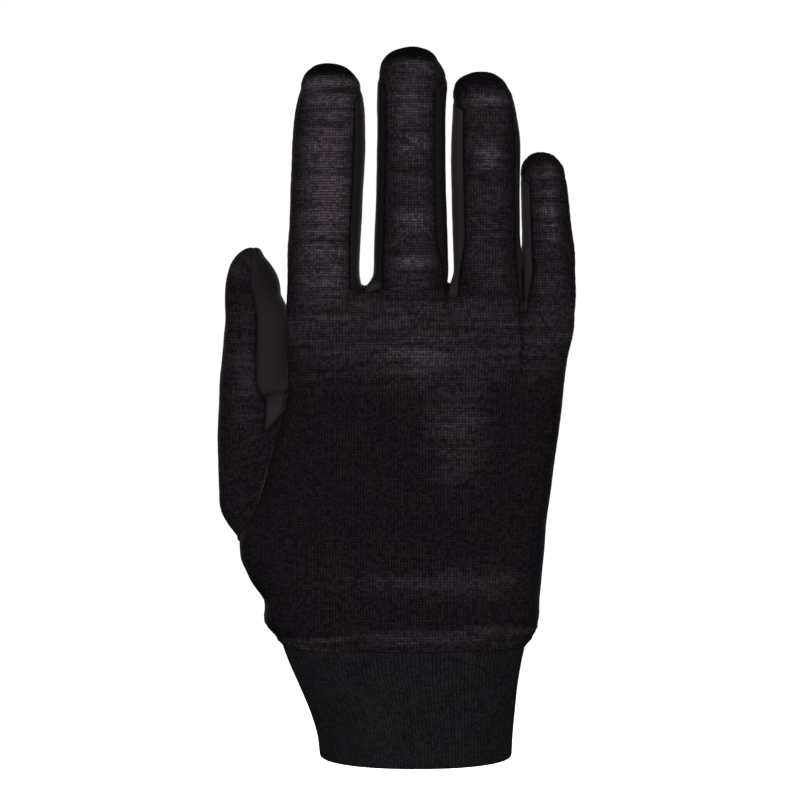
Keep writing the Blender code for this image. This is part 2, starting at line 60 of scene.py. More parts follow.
fingerPower = 2.15  # 2 is an ellipse, more is squarer
handPower = 2.5
thumbPower = 2.1
tipRise = math.radians(46)  # how far the rows of a tip climb at their ends
scallopReach = 30.0 * mm  # how far below the crotches the hand still follows the fingers
valleyReach = 15.0 * mm  # how far down the valleys between them run
evenReach = 70.0 * mm  # below those, the height over which the hand's columns spread evenly
edgeSettles = 0.30  # share of a finger over which its seams leave their places at the crotch
edgeTurns = 0.91  # share of a finger from which its seams run on towards its two sides
leanLimits = (-0.6, 1.2)  # shares of a finger between which it keeps on leaning
flatSettles = 14.0 * mm  # height over which a finger's wales leave those of the hand
levelCourses = (126.0 * mm, 148.0 * mm)  # heights between which the thumb's courses lie level

# How finely each panel is drawn
finer = 5  # rows for each row of the solids
fingerColumns = 26
webColumns = 5
sideColumns = 12
domeRows = 14
thumbColumns = 34
thumbRows = 84
evenSteps = 720  # steps in which half of an oval is measured

fingerNames = (
    "name", "rootX", "tipX", "rootY", "tipY", "endZ", "dome",
    "leftEdge", "rightEdge", "leftRoot", "rightRoot",
)
fingerTable = (
    ("index", -0.328, -0.302, 0.06, 0.16, 0.9790, 0.0370, 90, 46, 90, 50),
    ("middle", -0.020, -0.017, 0.00, 0.10, 0.9992, 0.0390, 50, 42, 50, 68),
    ("ring", 0.251, 0.237, 0.04, 0.14, 0.9645, 0.0360, 42, 56, 66, 72),
    ("little", 0.4752, 0.4515, 0.16, 0.26, 0.8505, 0.0290, 42, 90, 66, 90),
)
girthNames = ("along", "index", "middle", "ring", "little")
girthTable = (
    (-0.6, 0.136, 0.142, 0.118, 0.092),
    (0.00, 0.1270, 0.1350, 0.1165, 0.0940),
    (0.22, 0.1245, 0.1290, 0.1180, 0.0925),
    (0.45, 0.1280, 0.1235, 0.1200, 0.0905),
    (0.66, 0.1285, 0.1200, 0.1195, 0.0875),
    (0.82, 0.1265, 0.1205, 0.1160, 0.0845),
    (0.92, 0.1190, 0.1215, 0.1110, 0.0810),
    (1.00, 0.1060, 0.1170, 0.1045, 0.0755),
)
plumpNames = ("along", "half")
plumpTable = ((-0.6, 0.98), (0.00, 0.90), (0.22, 0.84), (0.45, 0.86), (0.70, 0.80), (1.00, 0.76))
crotchNames = ("back", "palm", "round")
crotchTable = ((0.6505, 0.6640, 0.0060), (0.6440, 0.6660, 0.0035), (0.6210, 0.6880, 0.0044))
thumbSideTop = 0.645  # where the index finger's outer side starts
littleSideTop = 0.632  # and that of the little finger
handNames = ("height", "left", "right", "sideY", "back", "palm", "cut")
handTable = (
    (0.1580, -0.469, 0.383, 0.00, 0.675, 0.680, 0),
    (0.1690, -0.490, 0.402, 0.00, 0.735, 0.735, 0),
    (0.1860, -0.522, 0.422, 0.00, 0.760, 0.770, 0),
    (0.2200, -0.543, 0.430, 0.01, 0.740, 0.790, 0),
    (0.2560, -0.592, 0.439, 0.04, 0.720, 0.800, 0),
    (0.2900, -0.609, 0.449, 0.08, 0.700, 0.800, 0),
    (0.3300, -0.577, 0.457, 0.10, 0.680, 0.790, 18),
    (0.3700, -0.548, 0.471, 0.10, 0.660, 0.760, 29),
    (0.4100, -0.519, 0.484, 0.09, 0.640, 0.720, 33),
    (0.4400, -0.496, 0.494, 0.08, 0.620, 0.680, 29),
    (0.4700, -0.473, 0.504, 0.07, 0.600, 0.640, 17),
    (0.5000, -0.452, 0.514, 0.06, 0.580, 0.600, 0),
    (0.5500, -0.448, 0.528, 0.05, 0.540, 0.560, 0),
    (0.6000, -0.449, 0.543, 0.04, 0.490, 0.520, 0),
    (0.6500, -0.452, 0.558, 0.03, 0.440, 0.480, 0),
)
handRows = (
    0.0, 0.02, 0.055, 0.125, 0.20, 0.272, 0.345, 0.42, 0.50,
    0.57, 0.64, 0.705, 0.785, 0.855, 0.915, 0.96, 1.0,
)
holeBottomRow = 5  # the thumb's hole in the palm starts at this row of the solids
holeTopRow = 11  # and ends at this one
fingerRows = (0.0, 0.10, 0.22, 0.35, 0.48, 0.61, 0.74, 0.86, 0.955, 1.0)
thumbNames = ("along", "x", "y", "height", "half", "deep", "turn", "hold")
thumbTable = (
    (0.00, -0.543, 0.118, 0.3960, 0.268, 0.095, 71, 0.00),
    (0.10, -0.557, 0.134, 0.4110, 0.258, 0.108, 65, 0.42),
    (0.20, -0.576, 0.154, 0.4300, 0.263, 0.117, 60, 0.76),
    (0.32, -0.583, 0.170, 0.4510, 0.238, 0.123, 56, 0.93),
    (0.46, -0.585, 0.190, 0.4880, 0.205, 0.125, 50, 1.00),
    (0.65, -0.583, 0.213, 0.5490, 0.163, 0.119, 37, 1.00),
    (0.85, -0.581, 0.237, 0.6130, 0.122, 0.107, 17, 1.00),
    (1.00, -0.594, 0.255, 0.6554, 0.102, 0.096, 0, 1.00),
)
thumbEnd = 0.7240
thumbSeamNames = ("along", "near", "far")
thumbSeamTable = (
    (0.00, 165, 150),
    (0.10, 139, 138),
    (0.20, 108, 118),
    (0.33, 113, 96),
    (0.40, 113, 92),
    (0.46, 106, 90),
    (0.55, 97, 90),
    (0.75, 95, 90),
    (1.00, 96, 90),
)
cuffNames = ("height", "left", "right", "half")
cuffTable = (
    (0.00, -0.508, 0.500, 0.500),
    (0.20, -0.523, 0.506, 0.498),
    (0.42, -0.563, 0.518, 0.495),
    (0.65, -0.620, 0.532, 0.492),
    (0.85, -0.672, 0.552, 0.480),
    (1.00, -0.706, 0.572, 0.462),
)


def smoothAt(names, table, column, at):
    # smooth curve through one column of a table, straight beyond its ends
    x = np.array([row[0] for row in table], float)
    y = np.array([row[names.index(column)] for row in table], float)
    rise = np.diff(y) / np.diff(x)
    slope = np.empty(len(x))
    slope[0], slope[-1] = rise[0], rise[-1]
    slope[1:-1] = np.where(rise[:-1] * rise[1:] > 0, (rise[:-1] + rise[1:]) / 2, 0)
    at = np.asarray(at, float)
    i = np.clip(np.searchsorted(x, at) - 1, 0, len(x) - 2)
    w = x[i + 1] - x[i]
    t = np.clip((at - x[i]) / w, 0, 1)
    bend = (
        (1 + 2 * t) * (1 - t) ** 2 * y[i] + t * (1 - t) ** 2 * w * slope[i]
        + t * t * (3 - 2 * t) * y[i + 1] + t * t * (t - 1) * w * slope[i + 1]
    )
    return bend + np.minimum(at - x[0], 0) * slope[0] + np.maximum(at - x[-1], 0) * slope[-1]


def ease(t):
    t = np.clip(t, 0, 1)
    return t * t * (3 - 2 * t)


def grow(value, start, reach):
    # 0 up to start and 1 from reach past it; with a negative reach it runs the other way
    return ease((value - start) / reach)


def bell(distance, width):
    return np.exp(-((distance / width) ** 2))


def onRound(direction, power):
    # where a direction meets a round of radius 1: power 2 is a circle, and more is boxier
    norm = (np.abs(direction) ** power).sum(axis=-1, keepdims=True) ** (1 / power)
    return direction / norm


def facing(angle):
    # level direction at an angle from the front, -Y, which grows towards +X
    angle = np.asarray(angle, float)
    return np.stack([np.sin(angle), -np.cos(angle), np.zeros_like(angle)], axis=-1)


def moreLevels(levels, times):
    # evenly spaced levels between the given ones
    index = np.linspace(0, len(levels) - 1, (len(levels) - 1) * times + 1)
    return np.interp(index, range(len(levels)), levels)


def runLength(points):
    # length along each row of points, from the row's start
    step = np.linalg.norm(np.diff(points, axis=-2), axis=-1)
    return np.concatenate([np.zeros(step.shape[:-1] + (1,)), np.cumsum(step, axis=-1)], axis=-1)


def spacedAngles(angle, power, width, depth, shares):
    # the angles at shares of the way along an oval's arc
    run = runLength(onRound(facing(angle), power) * np.array([width, depth, 0]) / 2)
    return np.interp(shares * run[-1], run, angle)


def numbered(rows):
    # the number of each point in a grid of rows
    return np.arange(rows.shape[0] * rows.shape[1]).reshape(rows.shape[:2])


# Fingers, palm and back

fingers = [dict(zip(fingerNames, row)) for row in fingerTable]
lastFinger = len(fingers) - 1
for k, finger in enumerate(fingers):
    around = [crotchTable[i][0] for i in (k - 1, k) if 0 <= i < lastFinger]
    finger["low"] = sum(around) / len(around) * gloveLength
    finger["high"] = (finger["endZ"] - finger["dome"]) * gloveLength


def fingerFrame(finger, z):
    # middle, half width and half depth of a finger at a height
    t = (z - finger["low"]) / (finger["high"] - finger["low"])
    half = smoothAt(girthNames, girthTable, finger["name"], t) * palmWidth
    deep = smoothAt(plumpNames, plumpTable, "half", t) * half
    lean = np.clip(t, *leanLimits)
    x = (finger["rootX"] + (finger["tipX"] - finger["rootX"]) * lean) * palmWidth
    y = (finger["rootY"] + (finger["tipY"] - finger["rootY"]) * lean * np.abs(lean)) * palmDepth
    return x, y, half, deep


def fingerPoint(finger, angle, z):
    x, y, half, deep = fingerFrame(finger, z)
    p = onRound(facing(angle), fingerPower)
    return np.stack(np.broadcast_arrays(x + half * p[..., 0], y + deep * p[..., 1], z), axis=-1)


def tipRow(share, columns, side):
    # a row over a fingertip of radius 1, an arc that climbs less at its ends than in its middle
    up, lift = share * tipRise, share * math.pi / 2
    middle = np.array([0, side * math.cos(lift), math.sin(lift)])
    chordMiddle = np.array([0, 0, math.sin(up)])
    across = middle - chordMiddle
    sag = np.linalg.norm(across)
    radius = (math.cos(up) ** 2 + sag**2) / (2 * sag)
    turn = math.atan2(math.cos(up), radius - sag)
    angle = np.linspace(-turn, turn, columns + 1)[:, None]
    centre = chordMiddle + across / sag * (sag - radius)
    return centre + radius * (np.sin(angle) * np.array([1, 0, 0]) + np.cos(angle) * across / sag)


def tipRows(finger, columns, side):
    x, y, half, deep = fingerFrame(finger, finger["high"])
    size = np.array([half, deep, finger["dome"] * gloveLength])
    rows = [
        np.array([x, y, finger["high"]]) + onRound(tipRow(share, columns, side), fingerPower) * size
        for share in np.linspace(0, 1, domeRows + 1)[1:]
    ]
    return np.array(rows)


def edgeAngle(finger, which, share):
    # where the panel's edge runs on a finger, in radians from the middle of its back
    root, along = finger[which + "Root"], finger[which + "Edge"]
    angle = root + (along - root) * ease(share / edgeSettles)
    return np.radians(angle + (90 - angle) * grow(share, edgeTurns, 1 - edgeTurns))


def crotchEnds(k, side):
    # heights at which a finger's left and right edges start
    column = 0 if side < 0 else 1
    left = thumbSideTop if k == 0 else crotchTable[k - 1][column] + crotchTable[k - 1][2]
    right = littleSideTop if k == lastFinger else crotchTable[k][column] + crotchTable[k][2]
    return left * gloveLength, right * gloveLength


def sideSign(angle, side):
    # the angle itself on the back, and its mirror image on the palm
    return angle if side < 0 else math.pi - angle


def fingerGrid(k, side):
    finger = fingers[k]
    left, right = crotchEnds(k, side)
    across = np.linspace(0, 1, fingerColumns + 1)[None, :]
    share = moreLevels(fingerRows, finer)[:, None]
    z = (left + (right - left) * across) * (1 - share) + finger["high"] * share
    start, end = -edgeAngle(finger, "left", share), edgeAngle(finger, "right", share)
    rows = fingerPoint(finger, sideSign(start + (end - start) * across, side), z)
    return np.concatenate([rows, tipRows(finger, fingerColumns, side)])


def webPoint(k, across, over):
    # a point of the cloth between two fingers, across it and over it from back to palm
    one, two = fingers[k], fingers[k + 1]
    row = dict(zip(crotchNames, crotchTable[k]))
    base = (row["back"] + (row["palm"] - row["back"]) * over) * gloveLength
    z = base + row["round"] * gloveLength * (1 - math.sin(math.pi * across))
    first, second = math.radians(one["rightRoot"]), math.radians(two["leftRoot"])
    a = fingerPoint(one, np.array(first + (math.pi - 2 * first) * over), np.array(z))
    b = fingerPoint(two, np.array(-second - (math.pi - 2 * second) * over), np.array(z))
    p = a + (b - a) * across
    p[2] = z
    return p


def handFrame(z):
    at = z / gloveLength
    left, right = (smoothAt(handNames, handTable, c, at) * palmWidth for c in ("left", "right"))
    sideY, back, palm = (
        smoothAt(handNames, handTable, c, at) * palmDepth for c in ("sideY", "back", "palm")
    )
    cut = np.radians(np.clip(smoothAt(handNames, handTable, "cut", at), 0, None))
    return left, right, sideY, back, palm, cut


def handPoint(angle, z, side):
    left, right, sideY, back, palm, _ = handFrame(z)
    p = onRound(facing(angle), handPower)
    x = (left + right) / 2 + (right - left) / 2 * p[..., 0]
    return np.stack([x, sideY + (back if side < 0 else -palm) * p[..., 1], z], axis=-1)


def topRow(side):
    # the hand's row through the crotches, with what each of its columns follows
    points, owners = [], []
    for k, finger in enumerate(fingers):
        start, end = -math.radians(finger["leftRoot"]), math.radians(finger["rightRoot"])
        for j, point in enumerate(fingerGrid(k, side)[0]):
            points.append(point)
            owners.append(("finger", k, start + (end - start) * j / fingerColumns))
        if k < lastFinger:
            for j in range(webColumns):
                share = (j + 1) / (webColumns + 1)
                points.append(webPoint(k, share, 0 if side < 0 else 1))
                owners.append(("web", k, share))
    return np.array(points), owners


def followPoint(owner, z, side):
    # where a column of the hand would lie if its finger or web ran on down
    kind, k, at = owner
    if kind == "finger":
        return fingerPoint(fingers[k], np.array(sideSign(at, side)), z)
    first = sideSign(math.radians(fingers[k]["rightRoot"]), side)
    second = sideSign(-math.radians(fingers[k + 1]["leftRoot"]), side)
    a = fingerPoint(fingers[k], np.array(first), z)
    return a + (fingerPoint(fingers[k + 1], np.array(second), z) - a) * at


def ridgeDepth(owner, z, side):
    # Y of the top of the finger that a column follows, or between two fingers
    kind, k, at = owner
    top = np.array(sideSign(0.0, side))
    one = fingerPoint(fingers[k], top, z)[..., 1]
    if kind == "finger":
        return one
    return one + (fingerPoint(fingers[k + 1], top, z)[..., 1] - one) * at


def facesCrotch(owner):
    kind, k, at = owner
    return kind == "web" or (k > 0 and at < 0) or (k < lastFinger and at > 0)


def handGrid(side):
    # rows of the hand from the wrist seam to the crotches, and each row's flat width
    top, owners = topRow(side)
    left, right = top[0, 0], top[-1, 0]
    share = np.clip((2 * top[:, 0] - left - right) / (right - left), -1, 1)
    crowded = np.arctan2(share, (1 - np.abs(share) ** handPower) ** (1 / handPower))
    half = np.linspace(-math.pi / 2, math.pi / 2, evenSteps + 1)
    even = spacedAngles(half, handPower, palmWidth, palmDepth, np.linspace(0, 1, len(share)))
    z = wristZ + (top[None, :, 2] - wristZ) * moreLevels(handRows, finer)[:, None]
    below = top[None, :, 2] - z
    angle = crowded + (even - crowded) * grow(below, scallopReach, evenReach)
    firstWeb = angle[:, fingerColumns + 1][:, None]
    hold = np.clip((firstWeb - angle) / (firstWeb + math.pi / 2), 0, 1)
    cut = handFrame(z)[5] if side > 0 else 0
    plain = handPoint(angle + cut * hold, z, side)
    follow = np.stack([followPoint(o, z[:, j], side) for j, o in enumerate(owners)], axis=1)
    ridge = np.stack([ridgeDepth(o, z[:, j], side) for j, o in enumerate(owners)], axis=1)
    valley = np.where([facesCrotch(o) for o in owners], ease(1 - below / valleyReach), 1)
    follow[..., 1] = ridge + (follow[..., 1] - ridge) * valley
    rows = plain + (follow - plain) * ease(1 - below / scallopReach)[..., None]
    return rows, rowLengths(plain)


def rowLengths(rows):
    # flat places across each row of the hand, from the one at X 0
    length = runLength(rows[..., :2])
    middle = np.array([np.interp(0, row[:, 0], along) for row, along in zip(rows, length)])
    return length - middle[:, None]


def gridQuads(ids, turned):
    quads = np.stack([ids[:-1, :-1], ids[:-1, 1:], ids[1:, 1:], ids[1:, :-1]], axis=-1)
    quads = quads.reshape(-1, 4)
    return quads[:, ::-1] if turned else quads


def handPanel(name, side):
    # back or palm: the hand's rows with the four fingers on top, cut in one
    rows, across = handGrid(side)
    hand = numbered(rows)
    count = hand.size
    points, flat, faces = [rows.reshape(-1, 3)], [], [gridQuads(hand, side > 0)]
    flat.append(np.stack([across, rows[..., 2]], axis=-1).reshape(-1, 2))
    for k, finger in enumerate(fingers):
        grid = fingerGrid(k, side)
        first = k * (fingerColumns + 1 + webColumns)
        base = hand[-1, first:first + fingerColumns + 1]
        flatAcross = across[-1, first:first + fingerColumns + 1]
        flat.append(fingerFlat(finger, grid, flatAcross)[1:].reshape(-1, 2))
        fresh = count + np.arange((len(grid) - 1) * (fingerColumns + 1)).reshape(-1, fingerColumns + 1)
        count += fresh.size
        points.append(grid[1:].reshape(-1, 3))
        faces.append(gridQuads(np.vstack([base[None, :], fresh]), side > 0))
    return {
        "name": name, "points": np.concatenate(points), "faces": np.concatenate(faces),
        "flat": np.concatenate(flat), "side": side,
    }


def fingerFlat(finger, grid, flatAcross):
    # lays a finger flat: its wales run on from the hand's, and its courses over the tip
    length, middle = runLength(grid[..., :2]), fingerColumns // 2
    own = length - length[:, middle][:, None] + flatAcross[middle]
    plainRows = len(grid) - domeRows
    own[plainRows:] = own[plainRows - 1]
    leave = grow(grid[..., 2], grid[0, :, 2], flatSettles)
    up = grid[..., 2].copy()
    up[plainRows:] = finger["high"] + runLength(grid[plainRows - 1:, middle])[1:, None]
    return np.stack([flatAcross + (own - flatAcross) * leave, up], axis=-1)


# Strips between the fingers


def stripRow(k, which, share):
    # a row of a strip from back to palm, on one side of a finger
    finger = fingers[k]
    low = [crotchEnds(k, side)[0 if which == "left" else 1] for side in (-1, 1)]
    edge = float(edgeAngle(finger, which, share))
    over = np.linspace(0, 1, sideColumns + 1)
    angle = edge + (math.pi - 2 * edge) * over
    z = (low[0] + (low[1] - low[0]) * over) * (1 - share) + finger["high"] * share
    return fingerPoint(finger, angle if which == "right" else -angle, z)


def sideStrip(name, k):
    shares = moreLevels(fingerRows, finer)[:-1]
    over = np.linspace(0, 1, sideColumns + 1)
    rows = [stripRow(k, "right", share) for share in shares[::-1]]
    for j in range(webColumns):
        rows.append(np.array([webPoint(k, (j + 1) / (webColumns + 1), o) for o in over]))
    rows += [stripRow(k + 1, "left", share) for share in shares]
    return gridPanel(name, np.array(rows), True)


def unfolded(rows, like, level):
    # lays a panel flat by unwrapping it, then turns and scales it to the flat places in `like`,
    # which hold where `level` is true
    ids = numbered(rows)
    mesh = bpy.data.meshes.new("unfolding")
    mesh.from_pydata(rows.reshape(-1, 3).tolist(), [], gridQuads(ids, False).tolist())
    mesh.uv_layers.new(name="flat")
    corners = np.empty(len(mesh.loops), np.int32)
    mesh.loops.foreach_get("vertex_index", corners)
    piece = bpy.data.objects.new("unfolding", mesh)
    bpy.context.scene.collection.objects.link(piece)
    bpy.ops.object.select_all(action="DESELECT")
    piece.select_set(True)
    bpy.context.view_layer.objects.active = piece
    bpy.ops.object.mode_set(mode="EDIT")
    bpy.ops.mesh.select_all(action="SELECT")
    bpy.ops.uv.unwrap(method="MINIMUM_STRETCH", margin=0.0)
    bpy.ops.object.mode_set(mode="OBJECT")
    places = np.empty(2 * len(mesh.loops), np.float32)
    mesh.uv_layers["flat"].data.foreach_get("uv", places)
    bpy.data.objects.remove(piece)
    bpy.data.meshes.remove(mesh)
    laid = np.empty(ids.size, complex)
    laid[corners] = places[0::2] + 1j * places[1::2]
    laid, want = laid.reshape(ids.shape), like[..., 0] + 1j * like[..., 1]
    best = None
    for turned in (laid, laid.conj()):
        design = np.stack([turned[level], np.ones(level.sum())], axis=1)
        fit, miss, _, _ = np.linalg.lstsq(design, want[level], rcond=None)
        if best is None or miss[0] < best[0]:
            best = (miss[0], turned * fit[0] + fit[1])
    print("unfolded with a mean miss of", round(float(np.sqrt(best[0] / level.sum()) / mm), 2), "mm")
    return np.stack([best[1].real, best[1].imag], axis=-1)


def gridPanel(name, rows, turned, upright=0):
    # a panel of plain rows; on the first of them, as many as upright says, the courses lie level
    middle = rows.shape[1] // 2
    up = np.broadcast_to(runLength(rows[:, middle])[:, None], rows.shape[:2]).copy()
    across = runLength(rows[..., :2] if upright else rows)
    across -= across[:, middle][:, None]
    if upright:
        like = np.stack([across[:upright], rows[:upright, :, 2]], axis=-1)
        low, high = levelCourses
        level = (rows[:upright, :, 2] > low) & (rows[:upright, :, 2] < high)
        laid = unfolded(rows[:upright], like, level)
        across[:upright], across[upright:] = laid[..., 0], laid[-1, :, 0]
        up[upright:] += laid[-1, :, 1] - up[upright - 1, middle]
        up[:upright] = laid[..., 1]
    flat = np.stack([across, up], axis=-1)
    return {
        "name": name, "points": rows.reshape(-1, 3), "faces": gridQuads(numbered(rows), turned),
        "flat": flat.reshape(-1, 2), "side": 0,
    }


# Thumb

holeEdges = {}
for side in (-1, 1):
    holeEdges[side] = handGrid(side)[0][holeBottomRow * finer:holeTopRow * finer + 1, 0]


def loopPoint(angle):
    # a point on the edge of the thumb's hole
    edge = holeEdges[-1 if angle >= 0 else 1]
    at = abs(angle) / math.pi * (len(edge) - 1)
    i = min(int(at), len(edge) - 2)
    return edge[i] + (edge[i + 1] - edge[i]) * (at - i)


def thumbFrame(along):
    get = {c: float(smoothAt(thumbNames, thumbTable, c, along)) for c in thumbNames[1:]}
    centre = np.array([get["x"] * palmWidth, get["y"] * palmWidth, get["height"] * gloveLength])
    turn = math.radians(get["turn"])
    outer = np.array([-math.cos(turn), 0, -math.sin(turn)])
    up = np.array([-math.sin(turn), 0, math.cos(turn)])
    return centre, up, outer, get["half"] * palmWidth, get["deep"] * palmWidth, get["hold"]


def thumbRow(along, angles):
    centre, _, outer, half, deep, hold = thumbFrame(along)
    gone = centre - thumbFrame(0.0)[0]
    p = onRound(facing(angles), thumbPower)
    tube = centre - outer * p[:, 1:2] * half - np.array([0, 1, 0]) * p[:, 0:1] * deep
    loop = np.array([loopPoint(angle) for angle in angles]) + gone
    return loop * (1 - hold) + tube * hold


def thumbTip(front):
    centre, up, outer, half, deep, _ = thumbFrame(1.0)
    length = (thumbEnd * gloveLength - centre[2]) / up[2]
    rows = []
    for share in np.linspace(0, 1, domeRows + 1)[1:]:
        p = onRound(tipRow(share, thumbColumns, -1), thumbPower)
        if front:
            p = p[::-1] * np.array([1, -1, 1])
        near = np.array([0, -1, 0]) * p[:, 0:1] * deep
        rows.append(centre - outer * p[:, 1:2] * half + near + up * p[:, 2:3] * length)
    return rows


def thumbPiece(name, front):
    rows = []
    for along in np.linspace(0, 1, thumbRows + 1):
        near = math.radians(float(smoothAt(thumbSeamNames, thumbSeamTable, "near", along)))
        far = math.radians(float(smoothAt(thumbSeamNames, thumbSeamTable, "far", along)))
        start, end = (near, 2 * math.pi - far) if front else (-far, near)
        angles = np.linspace(start, end, thumbColumns + 1)
        rows.append(thumbRow(along, np.where(angles > math.pi, angles - 2 * math.pi, angles)))
    return gridPanel(name, np.array(rows + thumbTip(front)), False, len(rows))


# Cloth: what sewing, gathering and stretch do to the plain panels

cloth = {
    "thickness": 0.9 * mm,  # of the jersey
    "seamDepth": 0.34 * mm,  # how far a seam draws the cloth in
    "thumbSeamDepth": 0.14 * mm,  # the same beside the thumb, where it lies flatter
    "seamWidth": 0.75 * mm,
    "shallowEnds": 0.6,  # share of that depth that is lost towards the fingertips
    "seamRoll": 0.08 * mm,  # the cloth stands up beside a seam
    "rollAt": 1.9 * mm,
    "rollWidth": 1.2 * mm,
    "pucker": 0.05 * mm,  # small waves along a seam
    "puckerAt": 1.4 * mm,
    "puckerPitch": 3.4 * mm,
    "besideThumb": (-38 * mm, 168 * mm),  # the thumb's seams: left of this X, below this height
    "wrinkle": 0.24 * mm,
    "wrinkleSize": 16.0 * mm,
    "ripple": 0.072 * mm,  # smaller wrinkles among those
    "rippleSize": 5.0 * mm,
    "calm": 6.0 * mm,  # both die out this near a seam
    "gather": 0.09 * mm,  # pleats that run into a fingertip's seam
    "gatherPitch": 1.25 * mm,
    "gatherReach": 11.0 * mm,
    "thumbGatherReach": 13.0 * mm,
    "thumbGatherLeft": -42 * mm,  # and left of this X
    "rootRidge": 0.30 * mm,  # the sewn edge that stands up round the thumb's root
    "ridgeWidth": 0.55 * mm,
    "ridgeBottom": 78 * mm,  # and shows between these two heights
    "ridgeTop": 112 * mm,
}
weldStep = 0.02 * mm  # points nearer than this are one point of the skin
weldShift = 0.137  # keeps points at round sizes off the limits between two steps
fingerMargin = 1.25  # the cloth of a finger is looked for in this many of its half widths
lastStretch = {  # where the last stretch of a finger or the thumb starts, and how soon it is full
    "belowDome": 12 * mm,
    "fingerOver": 6 * mm,
    "thumbFrom": 148 * mm,
    "thumbOver": 8 * mm,
    "thumbLeft": -46 * mm,  # the thumb lies on the left of this X
}


def borderEdges(faces):
    # the edges with a face on one side only, in the direction of that face
    edges = np.concatenate([faces[:, [0, 1]], faces[:, [1, 2]], faces[:, [2, 3]], faces[:, [3, 0]]])
    _, index, count = np.unique(
        np.sort(edges, axis=1), axis=0, return_inverse=True, return_counts=True
    )
    return edges[count[index.reshape(-1)] == 1]


def distanceTo(points, places):
    tree = kdtree.KDTree(len(places))
    for n, place in enumerate(places):
        tree.insert(Vector(place), n)
    tree.balance()
    return np.array([tree.find(Vector(point))[2] for point in points])


def seamDistance(panel):
    # distance to the panel's nearest sewn edge, in which the wrist's edge doesn't count
    ends = panel["points"][borderEdges(panel["faces"])]
    ends = ends[ends[..., 2].max(axis=1) > wristZ + mm]
    return distanceTo(panel["points"], np.concatenate([ends[:, 0], ends.mean(axis=1)]))


def skinNormals(panels):
    # normals of the whole skin, so that two panels bend the same way at their seam, and how
    # far the faces round each point agree, which is little only in a deep fold
    points = np.concatenate([panel["points"] for panel in panels])
    starts = np.cumsum([0] + [len(panel["points"]) for panel in panels])
    faces = np.concatenate([panel["faces"] + start for panel, start in zip(panels, starts)])
    _, index = np.unique(np.round(points / weldStep + weldShift), axis=0, return_inverse=True)
    index = index.reshape(-1)
    diagonals = points[faces[:, 2]] - points[faces[:, 0]], points[faces[:, 3]] - points[faces[:, 1]]
    normal = np.cross(*diagonals)
    total, weight = np.zeros((index.max() + 1, 3)), np.zeros(index.max() + 1)
    for corner in range(4):
        np.add.at(total, index[faces[:, corner]], normal)
        np.add.at(weight, index[faces[:, corner]], np.linalg.norm(normal, axis=1))
    length = np.maximum(np.linalg.norm(total, axis=1), 1e-15)
    agree = length / np.maximum(weight, 1e-15)
    total /= length[:, None]
    return [(total[index[a:b]], agree[index[a:b]]) for a, b in zip(starts[:-1], starts[1:])]


def noiseAt(points, size, seed, stretchAndHighlight=(1, 1, 1)):
    scaled = points / size * np.array(stretchAndHighlight) + seed
    return np.array([noise.noise(Vector(place)) for place in scaled])


def nearFinger(finger, points):
    x, _, half, _ = fingerFrame(finger, finger["high"])
    return (np.abs(points[:, 0] - x) < half * fingerMargin) & (points[:, 2] > finger["low"])


def nearEnd(points):
    # 1 on the last stretch of each finger and of the thumb, where the seams hardly show
    near = grow(points[:, 2], lastStretch["thumbFrom"], lastStretch["thumbOver"])
    near *= grow(points[:, 0], lastStretch["thumbLeft"], -2 * mm)
    for finger in fingers:
        mine = grow(points[:, 2], finger["high"] - lastStretch["belowDome"], lastStretch["fingerOver"])
        near = np.where(nearFinger(finger, points), mine, near)
    return near


def seamRelief(points, gap, uneven):
    # the seam sinks in, the cloth stands up beside it, and small waves run along it
    right, top = cloth["besideThumb"]
    byThumb = grow(points[:, 0], right, -6 * mm) * grow(points[:, 2], top, -8 * mm)
    depth = cloth["seamDepth"] + (cloth["thumbSeamDepth"] - cloth["seamDepth"]) * byThumb
    depth *= 1 - cloth["shallowEnds"] * nearEnd(points)
    wave = np.cos(2 * math.pi * points[:, 2] / cloth["puckerPitch"] + 3 * uneven)
    out = cloth["seamRoll"] * bell(gap - cloth["rollAt"], cloth["rollWidth"])
    out += cloth["pucker"] * wave * bell(gap - cloth["puckerAt"], cloth["puckerAt"])
    return out - depth * bell(gap, cloth["seamWidth"])


def wrinkles(points, gap):
    out = cloth["wrinkle"] * noiseAt(points, cloth["wrinkleSize"], 3.1, (1, 1, 1.7))
    out += cloth["ripple"] * noiseAt(points, cloth["rippleSize"], 11.9, (0.6, 0.6, 1.4))
    return out * grow(gap, 0, cloth["calm"])


def fingerTips(panel):
    # pleats that grow over the last stretch of each finger and die out at the seam itself
    points, flat = panel["points"], panel["flat"]
    growth = np.zeros(len(points))
    for finger in fingers:
        mine = grow(points[:, 2], finger["endZ"] * gloveLength - cloth["gatherReach"], 6 * mm)
        growth = np.where(nearFinger(finger, points), mine, growth)
    if not panel["side"]:
        onThumb = points[:, 0] < cloth["thumbGatherLeft"]
        start = thumbEnd * gloveLength - cloth["thumbGatherReach"]
        growth = onThumb * grow(points[:, 2], start, 7 * mm)
    pleats = np.cos(2 * math.pi * flat[:, 0] / cloth["gatherPitch"])
    return growth * pleats * grow(panel["gap"], 0, 2 * mm)


